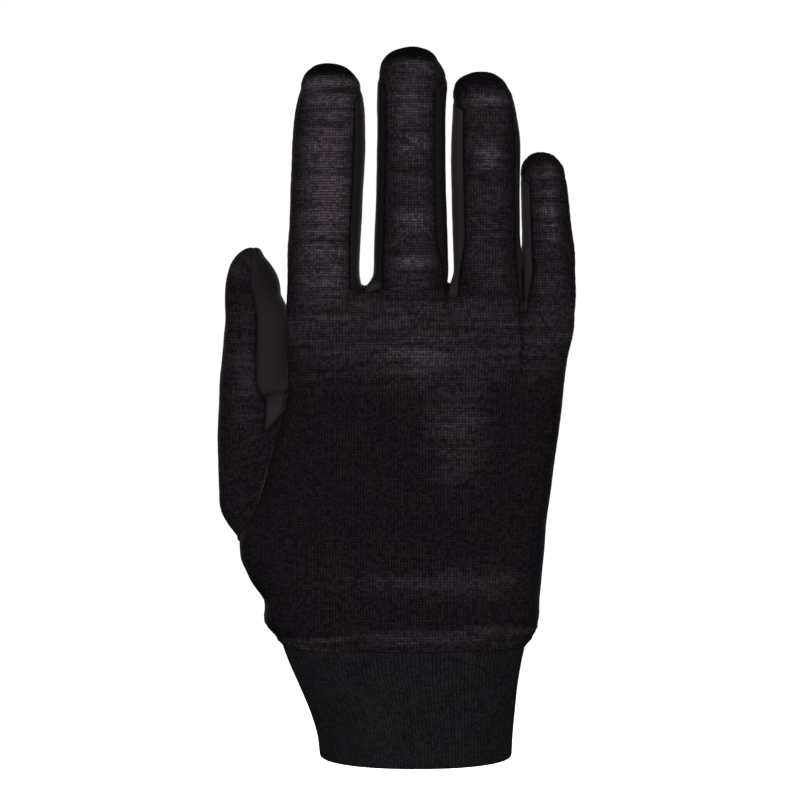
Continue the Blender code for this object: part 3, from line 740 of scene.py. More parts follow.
# Swellings and hollows of the outline, in mm: x and z of the middle, height of the bell and how
# far it swells out. Those of the thumb's smooth side lie on the right of their x.
swellNames = ("x", "z", "high", "out")
handSwells = (
    (52, 134.0, 10.0, -1.7),
    (-52, 65.5, 2.6, 1.0),
    (-52, 51.5, 3.2, -0.8),
    (-52, 45.5, 2.2, 0.5),
    (44, 44.0, 3.0, -0.2),
    (-40, 122.0, 5.0, 0.3),
    (-58, 92.0, 6.0, -0.9),
    (-58, 73.0, 5.0, 1.9),
    (52, 147.0, 5.0, -0.7),
    (52, 168.0, 6.0, 0.5),
    (38, 205.0, 12.0, 1.2),
    (54, 199.5, 3.5, -0.6),
    (14, 232.0, 3.0, -1.4),
    (-22, 229.0, 4.0, -0.8),
    (18, 224.0, 4.0, 1.0),
    (32, 224.0, 4.0, -1.2),
    (-38, 168.0, 7.0, 0.7),
)
thumbSwells = (
    (-47, 121.0, 5.5, 0.9),  # behind the edge of the hand
    (-47, 154.0, 5.0, 0.4),
    (-55, 168.0, 7.5, -1.7),
)
swellReach = 16  # mm to each side of a swelling of the hand
littleGap = {  # the ring and the little finger touch over the lowest part of their gap, in mm
    "touchBottom": 150,
    "touchTop": 171,
    "touch": 0.44,
    "openBottom": 169,
    "open": 0.16,
}


def swellings(panel):
    x, z = panel["points"][:, 0] / mm, panel["points"][:, 2] / mm
    out = np.zeros(len(x))
    for row in handSwells:
        spot = dict(zip(swellNames, row))
        side = ease(1 - np.abs(x - spot["x"]) / swellReach)
        out += side * spot["out"] * mm * bell(z - spot["z"], spot["high"])
    if panel["name"] == "thumb_front":
        for row in thumbSwells:
            spot = dict(zip(swellNames, row))
            side = grow(x, spot["x"], 4) * grow(panel["gap"], 0, 2 * mm)
            out += side * spot["out"] * mm * bell(z - spot["z"], spot["high"])
    if panel["name"] == "fourchette_ring_little":
        full = grow(z, littleGap["touchBottom"], 6) * grow(z, littleGap["touchTop"], -4)
        apart = littleGap["open"] * grow(z, littleGap["openBottom"], 5)
        out += (littleGap["touch"] * full - apart) * mm * grow(panel["gap"], 0, 1.5 * mm)
    return out


# How the strips fill the lower corners of a gap, in mm: how far in from the left and from the
# right, and how high
cornerFill = {
    "fourchette_index_middle": (1.1, 3.0, 6.5),
    "fourchette_middle_ring": (0.3, 2.6, 10.0),
    "fourchette_ring_little": (0.0, 0.0, 7.0),
}


def gapPlace(panel, points):
    # number and bottom of the gap that a strip lines, and 1 on the right of the gap's middle
    k = [finger["name"] for finger in fingers].index(panel["name"].split("_")[1])
    middle = sum(fingerFrame(fingers[n], points[:, 2])[0] for n in (k, k + 1)) / 2
    return k, crotchTable[k][0] * gloveLength, ease((points[:, 0] - middle) / (3 * mm) + 0.5)


def fillCorner(panel):
    # the strip is drawn across the corners, so that the gap narrows to a point
    points = panel["points"]
    left, right, high = cornerFill[panel["name"]]
    _, bottom, onRight = gapPlace(panel, points)
    fill = grow(points[:, 2], bottom + high * mm, -high * mm) * grow(panel["gap"], 0, 2.2 * mm)
    points[:, 0] += (left * (1 - onRight) - right * onRight) * mm * fill


wrist = {
    "bandTop": 43.8 * mm,  # height of the pressed band over the wrist seam, at its middle
    "bandSlope": 0.050,  # how its upper edge climbs to the right
    "bandBow": 1.2,  # and comes down to both sides, per metre
    "bandDepth": 0.25 * mm,
    "lipDepth": 0.16 * mm,  # the band's upper edge stands up
    "lipWidth": 0.6 * mm,
    "pleat": 0.16 * mm,  # pleats over the wrist seam
    "pleatPitch": 2.6 * mm,
    "pleatTop": 16.0 * mm,  # where they have died out, above the seam
    "edgeDrop": seamGap / 2 - 0.03 * mm,  # how far the hand's lower edge comes down to the cuff
}


def wristLine(points):
    # height above the upper edge of the band
    x = points[:, 0]
    return points[:, 2] - wrist["bandTop"] - wrist["bandSlope"] * x + wrist["bandBow"] * x**2


def wristRelief(panel, uneven):
    points = panel["points"]
    above, line = points[:, 2] - wristZ, wristLine(points)
    band = wrist["bandDepth"] * grow(line, 0.8 * mm, -0.8 * mm)
    band += wrist["lipDepth"] * bell(line, wrist["lipWidth"])
    fade = grow(above, wrist["pleatTop"], -9 * mm) * grow(above, 0, 1.5 * mm)
    pleat = np.cos(2 * math.pi * panel["flat"][:, 0] / wrist["pleatPitch"] + 4 * uneven)
    return wrist["pleat"] * fade * pleat + band * grow(above, 0, 2.5 * mm)


rootLine = np.concatenate([holeEdges[-1], (holeEdges[-1][1:] + holeEdges[-1][:-1]) / 2])


def rootShows(points):
    # the ridge of the thumb's root is plain to see on its upper half only
    start = grow(points[:, 2], cloth["ridgeBottom"], 12 * mm)
    return start * grow(points[:, 2], cloth["ridgeTop"], -4 * mm)


def dress(panel, normal, agree):
    points = panel["points"]
    panel["gap"], panel["rootGap"] = seamDistance(panel), distanceTo(points, rootLine)
    uneven = noiseAt(points, 4 * mm, 7.3)
    out = seamRelief(points, panel["gap"], uneven) + wrinkles(points, panel["gap"])
    out += cloth["gather"] * fingerTips(panel) + swellings(panel)
    out += cloth["rootRidge"] * bell(panel["rootGap"], cloth["ridgeWidth"]) * rootShows(points)
    if panel["side"]:
        out += wristRelief(panel, uneven)
    panel["points"] = points + normal * (out * agree**3)[:, None]
    if panel["name"] in cornerFill:
        fillCorner(panel)
    if panel["side"]:
        panel["points"][:, 2] -= wrist["edgeDrop"] * grow(points[:, 2], wristZ + mm, -mm)
    panel["lean"] = normal


# Paler cloth on the back: stretched knit, with a painted sheen on the front-facing middles of
# the fingers and on the knuckles. x and wide are shares of palmWidth, z and high of gloveLength,
# strength is 1 for the palest stretch of the index finger.
paleNames = ("x", "z", "wide", "high", "strength")
paleTable = (
    (0.003, 0.557, 0.090, 0.030, 0.40),
    (0.135, 0.465, 0.090, 0.060, 0.40),
    (-0.303, 0.780, 0.035, 0.075, 0.70),
    (-0.303, 0.948, 0.090, 0.006, 0.80),
    (-0.010, 0.966, 0.070, 0.009, 0.60),
    (-0.015, 0.916, 0.070, 0.026, 0.45),
    (-0.015, 0.853, 0.050, 0.016, 0.55),
    (-0.015, 0.747, 0.060, 0.013, 0.55),
    (-0.015, 0.690, 0.055, 0.014, 0.50),
    (0.247, 0.838, 0.030, 0.014, 1.20),
    (0.247, 0.922, 0.060, 0.008, 0.70),
    (0.468, 0.775, 0.022, 0.055, 0.60),
    (0.100, 0.250, 0.300, 0.018, 0.22),
)
paleFingers = {  # strength, width and the heights between which a finger's back is pale: stretched, with painted sheen
    "index": (0.60, 0.089, 0.600, 0.962),
    "middle": (0.25, 0.070, 0.610, 0.985),
    "ring": (0.20, 0.070, 0.610, 0.948),
    "little": (0.21, 0.058, 0.590, 0.838),
}
pale = {  # how pale the cloth is, partly from stretch and partly painted light and shade, where 1 is its palest colour
    "knuckles": 0.26,  # the back just below the fingers
    "knucklesFrom": 0.50,
    "knucklesTo": 0.66,
    "palm": 0.45,  # the palm, as a share of the back
    # painted highlight on the raised ridge round the thumb's root
    "rootRidge": 0.9,
    "ridgeWidth": 0.35 * mm,
    "wristLip": 0.12,  # painted highlight on the pressed band's raised upper edge
    "lipWidth": 0.34 * mm,
    "lipShine": 0.20,  # more of that near shineAt
    "shineAt": 24 * mm,
    "wristBand": 0.28,
    "wristSeam": 0.10,
    "seamLine": 0.9 * mm,  # height of its pale line over the seam
    "wristMiddle": -4 * mm,
    "wristHalf": 38 * mm,  # the lip and the seam are pale this far from the middle
    "palmWrist": 0.5,  # the palm's wrist, as a share of the back's
    "strips": {  # painted light and shade on the tricot on the left and on the right finger of a gap: lighter on a side turned to the light, darker on one turned away
        "fourchette_index_middle": (0.30, 0.05),
        "fourchette_middle_ring": (0.10, 0.95),
        "fourchette_ring_little": (-0.10, 0.85),
    },
    "stripEnd": 0.35,  # what is left of that at a strip's upper end
    "cornerPatch": 1.7,  # the small patch at the right of a gap's bottom
    "thumbSmooth": 0.82,
    "thumbRoot": 0.16,  # more of it below the crease
    # painted shade: a dark line in the thumb's crease
    "thumbCrease": -0.85,
    "creaseAt": (-51, 119.8, 0.19),  # x and height of the crease in mm, and its slope
    "creaseWidth": 0.7,  # mm
    "thumbTip": -0.30,
    "thumbTipFrom": 146,  # height in mm
    # painted shade along the thumb's smooth side beside its seams
    "thumbEdge": -0.34,
    "thumbKnit": 0.05,
    "thumbUpper": 0.10,  # more of it towards the thumb's end
    "thumbStreak": (-58, 127, 6, 17, 0.22),  # as in paleTable, but places and sizes in mm
}


def paleSpot(row, x, z):
    spot = dict(zip(paleNames, row))
    return spot["strength"] * bell(x - spot["x"], spot["wide"]) * bell(z - spot["z"], spot["high"])


# painted highlight along the ridge round the thumb's root
def paintedRidgeHighlight(panel):
    return pale["rootRidge"] * bell(panel["rootGap"], pale["ridgeWidth"]) * rootShows(panel["points"])


def wristPaleness(panel):
    points = panel["points"]
    away = np.abs(points[:, 0] - pale["wristMiddle"])
    line, inside = wristLine(points), grow(away, pale["wristHalf"], -8 * mm)
    # painted highlight along the band's raised upper edge, stronger near shineAt
    shine = pale["wristLip"] + pale["lipShine"] * bell(points[:, 0] - pale["shineAt"], 14 * mm)
    light = shine * inside * bell(line, pale["lipWidth"]) + pale["wristBand"] * grow(line, mm, -mm)
    above = points[:, 2] - wristZ - pale["seamLine"]
    light += pale["wristSeam"] * inside * bell(above, 0.4 * mm)
    return light * (1 if panel["side"] < 0 else pale["palmWrist"])


# paleness of back and palm: stretched knit and a painted sheen on the fingers' front-facing middles
# and knuckles
def handPaleness(panel):
    points = panel["points"]
    x, z = points[:, 0] / palmWidth, points[:, 2] / gloveLength
    light = pale["knuckles"] * grow(z, pale["knucklesFrom"], 0.09)
    light *= grow(z, pale["knucklesTo"], -0.03)
    for finger in fingers:
        strength, wide, low, high = paleFingers[finger["name"]]
        middle = fingerFrame(finger, points[:, 2])[0] / palmWidth
        plateau = np.exp(-(((x - middle) / wide) ** 4))
        light = np.maximum(light, strength * grow(z, low, 0.06) * grow(z, high, -0.010) * plateau)
    for row in paleTable:
        light += paleSpot(row, x, z)
    if panel["side"] > 0:
        light *= pale["palm"]
    return light + paintedRidgeHighlight(panel) + wristPaleness(panel)


def thumbKnitPaleness(panel):
    x, z = panel["points"][:, 0] / mm, panel["points"][:, 2] / mm
    light = pale["thumbKnit"] + paleSpot(pale["thumbStreak"], x, z)
    return light + pale["thumbUpper"] * grow(z, 155, 8) + paintedRidgeHighlight(panel)


def thumbSmoothPaleness(panel):
    x, z = panel["points"][:, 0] / mm, panel["points"][:, 2] / mm
    creaseX, creaseZ, slope = pale["creaseAt"]
    # painted shade in the crease and beside the seams
    crease = pale["thumbCrease"] * bell(z - (creaseZ + slope * (x - creaseX)), pale["creaseWidth"])
    root, tip = grow(z, 118, -2), grow(z, pale["thumbTipFrom"], 14)
    edge = pale["thumbEdge"] * bell(panel["gap"], 2.2 * mm) * (1 - tip) * (1 - root)
    light = pale["thumbSmooth"] + pale["thumbRoot"] * root + pale["thumbTip"] * tip
    return light + crease + edge


def stripPaleness(panel):
    points = panel["points"]
    k, bottom, onRight = gapPlace(panel, points)
    # painted light and shade: a strip is lighter beside a finger side turned to the light
    left, right = pale["strips"][panel["name"]]
    high = fingers[k]["high"] + (fingers[k + 1]["high"] - fingers[k]["high"]) * onRight
    end = pale["stripEnd"]
    light = (left + (right - left) * onRight) * (end + (1 - end) * grow(points[:, 2], high, -7 * mm))
    return light + pale["cornerPatch"] * onRight * grow(points[:, 2], bottom + 4.5 * mm, -4.5 * mm)


def gathered(panel):
    # where the thumb's smooth side ends in the same pleats as the knit round it
    near = grow(panel["points"][:, 2], lastStretch["thumbFrom"], lastStretch["thumbOver"])
    return near * (panel["name"] == "thumb_front")


shade = {  # how much of the cloth's light is lost
    "seams": 0.45,
    "seamWidth": 0.8 * mm,
    "lostAtEnds": 0.5,  # share of the seams' shade that is lost towards the fingertips
    "thumbTop": 153 * mm,  # the thumb has no shaded seams above this height
    "corners": 0.65,  # at the left of a gap's bottom
    "cornerHeight": 2.5 * mm,
    "caps": {"index": 0.66, "middle": 0.66, "ring": 0.52, "little": 0.38},
    "capHeight": 8.5 * mm,
    "capFades": 4.5 * mm,
}


def paintedShade(panel):
    # painted shade: along the seams, in the lower left corners of the gaps and over the gathered caps
    # of the fingertips
    points = panel["points"]
    onRidge = rootShows(points) * bell(panel["rootGap"], mm)
    dark = shade["seams"] * bell(panel["gap"], shade["seamWidth"]) * (1 - onRidge)
    dark *= 1 - shade["lostAtEnds"] * nearEnd(points)
    if "thumb" in panel["name"]:
        dark *= grow(points[:, 2], shade["thumbTop"], -8 * mm)
    if "fourchette" in panel["name"]:
        _, bottom, onRight = gapPlace(panel, points)
        low = bell(points[:, 2] - bottom, shade["cornerHeight"])
        dark = np.maximum(dark, shade["corners"] * (1 - onRight) * low)
    if panel["side"]:
        for finger in fingers:
            start = finger["endZ"] * gloveLength - shade["capHeight"]
            cap = shade["caps"][finger["name"]] * grow(points[:, 2], start, shade["capFades"])
            dark = np.where(nearFinger(finger, points), np.maximum(dark, cap), dark)
    return dark


def makePiece(name, points, faces, flat, crisp, material):
    # a cloth piece in its solid's place, with a flat place in mm for each corner of each face
    mesh = bpy.data.meshes.new(name)
    mesh.from_pydata(points.tolist(), [], faces.tolist())
    mesh.update()
    mesh.shade_smooth()
    mesh.uv_layers.new(name="flat").data.foreach_set("uv", flat.astype(np.float32).ravel())
    sharpen(mesh, *crisp)
    mesh.materials.append(material)
    piece = bpy.data.objects.new(name + "_cloth", mesh)
    bpy.context.scene.collection.objects.link(piece)
    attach(piece, "root")
    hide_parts(name)
    return piece


def sharpen(mesh, low, high):
    # the cloth's edge at the wrist seam stays crisp between two heights
    heights = np.array([vertex.co.z for vertex in mesh.vertices])
    ends = np.empty(2 * len(mesh.edges), np.int32)
    mesh.edges.foreach_get("vertices", ends)
    inside = ((heights > low) & (heights < high))[ends.reshape(-1, 2)].all(axis=1)
    mesh.attributes.new("sharp_edge", "BOOLEAN", "EDGE").data.foreach_set("value", inside)


def makeCloth(panel, material, slot):
    # both faces of the cloth and its rim, with walls that meet like a mitre at the seams
    outer, faces = panel["points"], panel["faces"]
    count = len(outer)
    rim = borderEdges(faces)
    rimFaces = np.stack([rim[:, 1], rim[:, 0], rim[:, 0] + count, rim[:, 1] + count], axis=1)
    skin = np.concatenate([faces, faces[:, ::-1] + count, rimFaces])
    points = np.concatenate([outer, outer - panel["lean"] * cloth["thickness"]])
    flat = panel["flat"][skin.reshape(-1) % count] / mm
    piece = makePiece(panel["name"], points, skin, flat, (0, wristZ + 0.1 * mm), material)
    for key in ("pale", "dark", "gathered"):
        shared = piece.data.attributes.new(key, "FLOAT", "POINT")
        shared.data.foreach_set("value", np.tile(panel[key], 2).astype(np.float32))
    return piece


# Materials


def linear(code):
    value = [int(code[i:i + 2], 16) / 255 for i in (1, 3, 5)]
    return [v / 12.92 if v <= 0.04045 else ((v + 0.055) / 1.055) ** 2.4 for v in value] + [1.0]


def addNode(tree, kind, inputs=(), **settings):
    # Adds a node with its settings and links. Each input, in order or by its name, is a value, a
    # socket, or a node that stands for its first output.
    node = tree.nodes.new("ShaderNode" + kind)
    for name, value in settings.items():
        setattr(node, name, value)
    for key, value in inputs.items() if isinstance(inputs, dict) else enumerate(inputs):
        source = value.outputs[0] if isinstance(value, bpy.types.Node) else value
        if isinstance(source, bpy.types.NodeSocket):
            tree.links.new(source, node.inputs[key])
        else:
            node.inputs[key].default_value = source
    return node


def newMaterial(name):
    material = bpy.data.materials.new(name)
    material.use_nodes = True
    material.node_tree.nodes.clear()
    return material, material.node_tree


furrowLoss = 0.55  # share of the furrows' depth that full stretch takes away
restingStep = 0.70  # share of the step between courses that shows without any stretch


def stitches(tree, place, look, stretchAndHighlight=0.0):
    # Knitting over flat coordinates: wales of V-shaped stitches. Gives the height of the yarn, a
    # shade of its own for every stitch, how far across it lies and the number of its course.
    split = addNode(tree, "SeparateXYZ", (place,))
    across = addNode(tree, "Math", (split, look["wale"]), operation="DIVIDE")
    up = addNode(tree, "Math", (split.outputs["Y"], look["course"]), operation="DIVIDE")
    side = addNode(tree, "Math", (across,), operation="FRACT")
    side = addNode(tree, "Math", (side, 0.5), operation="SUBTRACT")
    side = addNode(tree, "Math", (side,), operation="ABSOLUTE")
    phase = addNode(tree, "Math", (side, -look["lean"], up), operation="MULTIPLY_ADD")
    loop = addNode(tree, "Math", (phase, 2 * math.pi), operation="MULTIPLY")
    loop = addNode(tree, "Math", (loop,), operation="COSINE")
    loop = addNode(tree, "Math", (loop, 0.5, 0.5), operation="MULTIPLY_ADD")
    furrow = addNode(tree, "Math", (side, 2.0), operation="MULTIPLY")
    furrow = addNode(tree, "Math", (furrow, look["furrowPower"]), operation="POWER")
    deep, step = look["furrow"], look["step"]
    deep = addNode(tree, "Math", (stretchAndHighlight, -furrowLoss * deep, deep), operation="MULTIPLY_ADD")
    furrow = addNode(tree, "Math", (furrow, deep), operation="MULTIPLY")
    ridge = addNode(tree, "Math", (1.0, furrow), operation="SUBTRACT")
    resting = restingStep * step
    step = addNode(tree, "Math", (stretchAndHighlight, step - resting, resting), operation="MULTIPLY_ADD")
    level = addNode(tree, "Math", (1.0, step), operation="SUBTRACT")
    level = addNode(tree, "Math", (loop, step, level), operation="MULTIPLY_ADD")
    height = addNode(tree, "Math", (ridge, level), operation="MULTIPLY")
    course = addNode(tree, "Math", (phase, look["courseStart"]), operation="ADD")
    course = addNode(tree, "Math", (course,), operation="FLOOR")
    wale = addNode(tree, "Math", (across,), operation="FLOOR")
    cell = addNode(tree, "CombineXYZ", (wale, course))
    own = addNode(tree, "TexWhiteNoise", {"Vector": cell}, noise_dimensions="2D")
    return height, own, across, course


def swayed(tree, flat, reach):
    # lets the rows wander a little, by reach in mm
    sway = addNode(tree, "TexNoise", {"Vector": flat, "Scale": 0.30, "Detail": 1.0})
    return addNode(
        tree, "VectorMath", (sway.outputs["Color"], (reach,) * 3, flat), operation="MULTIPLY_ADD",
    )


widely = (2.4, -0.7)  # gain and base that spread noise from 0 to 1


def patches(tree, place, scale, detail, spread=widely, roughness=0.5, dimensions="3D"):
    # soft uneven patches
    uneven = addNode(
        tree, "TexNoise",
        {"Vector": place, "Scale": scale, "Detail": detail, "Roughness": roughness},
        noise_dimensions=dimensions,
    )
    return addNode(tree, "Math", (uneven, *spread), operation="MULTIPLY_ADD")


def courseBands(tree, flat, scale, low, high):
    # uneven rows: some courses lie more open than others
    place = addNode(tree, "Mapping", {"Vector": flat, "Scale": scale})
    band = addNode(tree, "TexNoise", {"Vector": place, "Scale": 1.0, "Detail": 2.0})
    return addNode(tree, "MapRange", (band, low, high))


def covered(tree, height, look, **shades):
    # how much yarn shows: its height, made uneven by each shade with the look's gain and base
    for name, source in shades.items():
        share = addNode(tree, "Math", (source, *look[name + "Shade"]), operation="MULTIPLY_ADD")
        height = addNode(tree, "Math", (height, share), operation="MULTIPLY")
    return height


def driftingYarn(tree, look, flat):
    # the yarn drifts slowly between two blacks
    tones = {6: linear(look["yarn"]), 7: linear(look["warmYarn"])}
    tones[0] = patches(tree, flat, look["drift"], 2.0)
    return addNode(tree, "Mix", tones, data_type="RGBA").outputs[2]


def paleColours(tree, look, light, yarn):
    # the yarn and the gaps between the stitches, both paler where the cloth is stretched and where
    # light is painted on it
    pairs = (yarn, look["paleYarn"]), (linear(look["gaps"]), look["openGaps"])
    return [
        addNode(tree, "Mix", {0: light, 6: plain, 7: linear(paler)}, data_type="RGBA").outputs[2]
        for plain, paler in pairs
    ]


def clothShader(tree, look, cover, gaps, yarn, fuzz, dark=0.0):
    # yarn over dark gaps, with painted shade at its seams, corners and fingertip caps, and the relief
    # of the stitches
    colour = addNode(tree, "Mix", {0: cover, 6: gaps, 7: yarn}, data_type="RGBA").outputs[2]
    lit = addNode(tree, "Math", (1.0, dark), operation="SUBTRACT")
    lit = addNode(tree, "VectorMath", {0: colour, "Scale": lit}, operation="SCALE")
    relief = {"Strength": look["bump"], "Distance": look["bumpDepth"], "Height": fuzz}
    shader = addNode(tree, "BsdfPrincipled", {
        "Base Color": lit, "Normal": addNode(tree, "Bump", relief),
        "Roughness": look["roughness"], "Specular IOR Level": look["specular"],
    })
    addNode(tree, "OutputMaterial", (shader,))


knit = {
    "wale": 1.0,  # mm between wales
    "course": 0.9,  # mm between courses
    "courseStart": 0.5,  # where in a course a stitch's own shade starts
    "lean": 0.9,  # how far the legs of a stitch lean
    "furrow": 0.88,  # depth between two wales, as a share of the yarn's height
    "furrowPower": 2.6,  # how narrow it is
    "step": 0.80,  # depth between two courses
    "sway": 0.5,  # mm that the rows wander
    "fibre": 1.3,  # loose fibres for each mm
    "wideBands": ((0.035, 0.26, 1.0), 0.38, 0.62),
    "fineBands": ((0.05, 1.05, 1.0), 0.34, 0.66),
    "stitchShade": (1.0, 0.48),  # gain and base of each stitch's own shade
    "fibreShade": (1.1, 0.45),
    "streakShade": (0.6, 0.72),
    "streaks": (0.30, 3.7),  # lighter stretches of a course: how many for each wale and course
    "wideGain": 0.95,  # what the bands add to the paleness of stretched cloth and painted sheen
    "fineGain": 0.75,
    "noBands": 0.12,  # what shows of it between them
    "fuzz": 0.3,  # height of the loose fibres
    "yarn": "#231f27",
    "warmYarn": "#2a2326",
    "drift": 0.055,  # drifts from one to the other for each mm
    "paleYarn": "#60555d",
    "gaps": "#09070a",
    "openGaps": "#171216",
    "bump": 0.9,
    "bumpDepth": 0.15 * mm,
    "roughness": 0.95,
    "specular": 0.05,
}


def merinoJersey():
    # fine black merino jersey: soft and matt, a grid of tiny stitches, paler where it is stretched and
    # where a sheen is painted on it
    material, tree = newMaterial("merinoJersey")
    flat = addNode(tree, "UVMap", uv_map="flat")
    # the pale attribute: stretch, with a painted sheen and painted highlights
    stretchAndHighlight = addNode(tree, "Attribute", attribute_name="pale").outputs["Fac"]
    place = swayed(tree, flat, knit["sway"])
    height, own, across, course = stitches(tree, place, knit, stretchAndHighlight)
    fibre = patches(tree, flat, knit["fibre"], 4.0, roughness=0.65)
    across = addNode(tree, "Math", (across, knit["streaks"][0]), operation="MULTIPLY")
    course = addNode(tree, "Math", (course, knit["streaks"][1]), operation="MULTIPLY")
    row = addNode(tree, "CombineXYZ", (across, course))
    streak = patches(tree, row, 1.0, 1.0, (2.2, -0.6), dimensions="2D")
    wide, fine = (courseBands(tree, flat, *knit[which]) for which in ("wideBands", "fineBands"))
    uneven = addNode(tree, "Math", (fine, knit["fineGain"], knit["noBands"]), operation="MULTIPLY_ADD")
    uneven = addNode(tree, "Math", (wide, knit["wideGain"], uneven), operation="MULTIPLY_ADD")
    light = addNode(tree, "Math", (stretchAndHighlight, uneven), operation="MULTIPLY")
    yarn, gaps = paleColours(tree, knit, light, driftingYarn(tree, knit, flat))
    cover = covered(tree, height, knit, stitch=own, fibre=fibre, streak=streak)
    fuzz = addNode(tree, "Math", (fibre, knit["fuzz"], height), operation="MULTIPLY_ADD")
    dark = addNode(tree, "Attribute", attribute_name="dark").outputs["Fac"]
    clothShader(tree, knit, cover, gaps, yarn, fuzz, dark)
    return material


tricot = {
    "wale": 0.55,
    "course": 0.5,
    "courseStart": 0.5,
    "lean": 0.6,
    "furrow": 0.45,
    "furrowPower": 2.6,
    "step": 0.50,
    "sway": 0.2,
    "fibre": 2.0,
    "fibreShade": (0.35, 0.75),
    "stitchShade": (0.3, 0.9),
    "yarn": "#1f1a1e",
    "paleYarn": "#3b3338",
    "pleat": 1.0,  # mm between the pleats at the thumb's end
    "pleatDepth": 0.25,  # half of the light that is lost between them
    "gaps": "#0c0a0c",
    "openGaps": "#241f22",
    "bump": 0.5,
    "bumpDepth": 0.07 * mm,
    "roughness": 0.85,
    "specular": 0.08,
}


def elastaneTricot():
    # smooth stretch tricot: so fine that it reads as an even, slightly greyer black
    material, tree = newMaterial("elastaneTricot")
    flat = addNode(tree, "UVMap", uv_map="flat")
    height, own, _, _ = stitches(tree, swayed(tree, flat, tricot["sway"]), tricot)
    fibre = patches(tree, flat, tricot["fibre"], 4.0, roughness=0.65)
    cover = covered(tree, height, tricot, fibre=fibre, stitch=own)
    # painted shade between the pleats at the thumb's end
    pleat = addNode(tree, "SeparateXYZ", (flat,))
    pleat = addNode(tree, "Math", (pleat, 2 * math.pi / tricot["pleat"]), operation="MULTIPLY")
    pleat = addNode(tree, "Math", (pleat,), operation="COSINE")
    deep = tricot["pleatDepth"]
    pleat = addNode(tree, "Math", (pleat, deep, -deep), operation="MULTIPLY_ADD")
    where = addNode(tree, "Attribute", attribute_name="gathered").outputs["Fac"]
    pleat = addNode(tree, "Math", (pleat, where), operation="MULTIPLY")
    cover = addNode(tree, "Math", (cover, pleat, cover), operation="MULTIPLY_ADD")
    # the pale attribute, with painted light and shade on the strips and on the thumb's smooth side
    light = addNode(tree, "Attribute", attribute_name="pale").outputs["Fac"]
    yarn, gaps = paleColours(tree, tricot, light, linear(tricot["yarn"]))
    dark = addNode(tree, "Attribute", attribute_name="dark").outputs["Fac"]
    clothShader(tree, tricot, cover, gaps, yarn, height, dark)
    return material


rib = {
    "count": 154,  # ribs round the cuff
    "depth": 0.15 * mm,
    "perRib": 5,  # columns for each rib
    "rowsOut": 44,
    "rowsFold": 8,
    "rowsIn": 26,
    "wall": 1.8 * mm,
    "topFade": 1.6 * mm,  # the ribs flatten over this height below the wrist seam
    "topRelief": 0.15,
    "inside": 0.5,  # share of their relief that shows inside the cuff
    "foldStart": 1.2,  # height at which the fold starts, in half walls
    "meanWidth": 1.12,  # of the cuff, in widths of its mouth
    "bandRound": 3.05,  # length of the doubled band cut open, in widths of the mouth
    "wale": 1.0,  # the flat coordinates count ribs round the cuff, and mm along it
    "course": 0.8,  # mm between courses
    "courseStart": 0.0,
    "lean": 1.1,
    "furrow": 0.72,
    "furrowPower": 2.0,
    "step": 0.4571,
    "fibre": (3.0, 2.6, 1.0),  # loose fibres for each rib and for each mm
    "clouds": ((0.10, 0.10, 1.0), 0.30, 0.70),
    "fibreShade": (2.9, -0.55),
    "cloudShade": (0.4, 0.8),
    "stitchShade": (1.1, 0.45),
    "fuzz": 0.4,
    "yarn": "#2b292f",
    "warmYarn": "#2e2a2c",
    "drift": 0.07,
    "gaps": "#0c0b0d",
    "bump": 0.8,
    "bumpDepth": 0.14 * mm,
    "roughness": 0.95,
    "specular": 0.05,
}


def ribKnit():
    # folded one-and-one rib: fine upright ribs, hairy enough that the furrows only just show
    material, tree = newMaterial("ribKnit")
    flat = addNode(tree, "UVMap", uv_map="flat")
    height, own, _, _ = stitches(tree, flat, rib)
    place = addNode(tree, "Mapping", {"Vector": flat, "Scale": rib["fibre"]})
    fibre = patches(tree, place, 1.0, 4.0, (3.4, -1.2), 0.7)
    cloud = courseBands(tree, flat, *rib["clouds"])
    cover = covered(tree, height, rib, fibre=fibre, cloud=cloud, stitch=own)
    fuzz = addNode(tree, "Math", (fibre, rib["fuzz"], height), operation="MULTIPLY_ADD")
    clothShader(tree, rib, cover, linear(rib["gaps"]), driftingYarn(tree, rib, flat), fuzz)
    return material


# Cuff


def cuffRing(level, inset, angles):
    left, right, half = (float(smoothAt(cuffNames, cuffTable, c, level)) for c in cuffNames[1:])
    left, right, half = left * mouthWidth, right * mouthWidth, half * mouthDepth
    inward = onRound(facing(angles), fingerPower) * np.array([(right - left) / 2, half, 0])
    ring = np.array([(left + right) / 2, 0, 0]) + inward
    inward /= np.linalg.norm(inward, axis=1)[:, None]
    ring -= inward * np.reshape(inset, (-1, 1))
    ring[:, 2] = level * cuffHeight
    return ring


def cuffProfile():
    # Rows down the outside, round the fold and up the inside: the height as a share, how far in
    # the row lies, and how much of the ribs' relief it shows
    radius = rib["wall"] / 2
    foldLevel = rib["foldStart"] * radius / cuffHeight
    profile = [(level, 0.0, 1.0) for level in np.linspace(1, foldLevel, rib["rowsOut"])]
    for turn in np.linspace(0, math.pi, rib["rowsFold"] + 2)[1:-1]:
        level = radius * (1 - math.sin(turn)) / cuffHeight
        relief = 1 - (1 - rib["inside"]) * turn / math.pi
        profile.append((level, radius * (1 - math.cos(turn)), relief))
    rising = np.linspace(foldLevel, 1, rib["rowsIn"])
    return profile + [(level, rib["wall"], rib["inside"]) for level in rising]


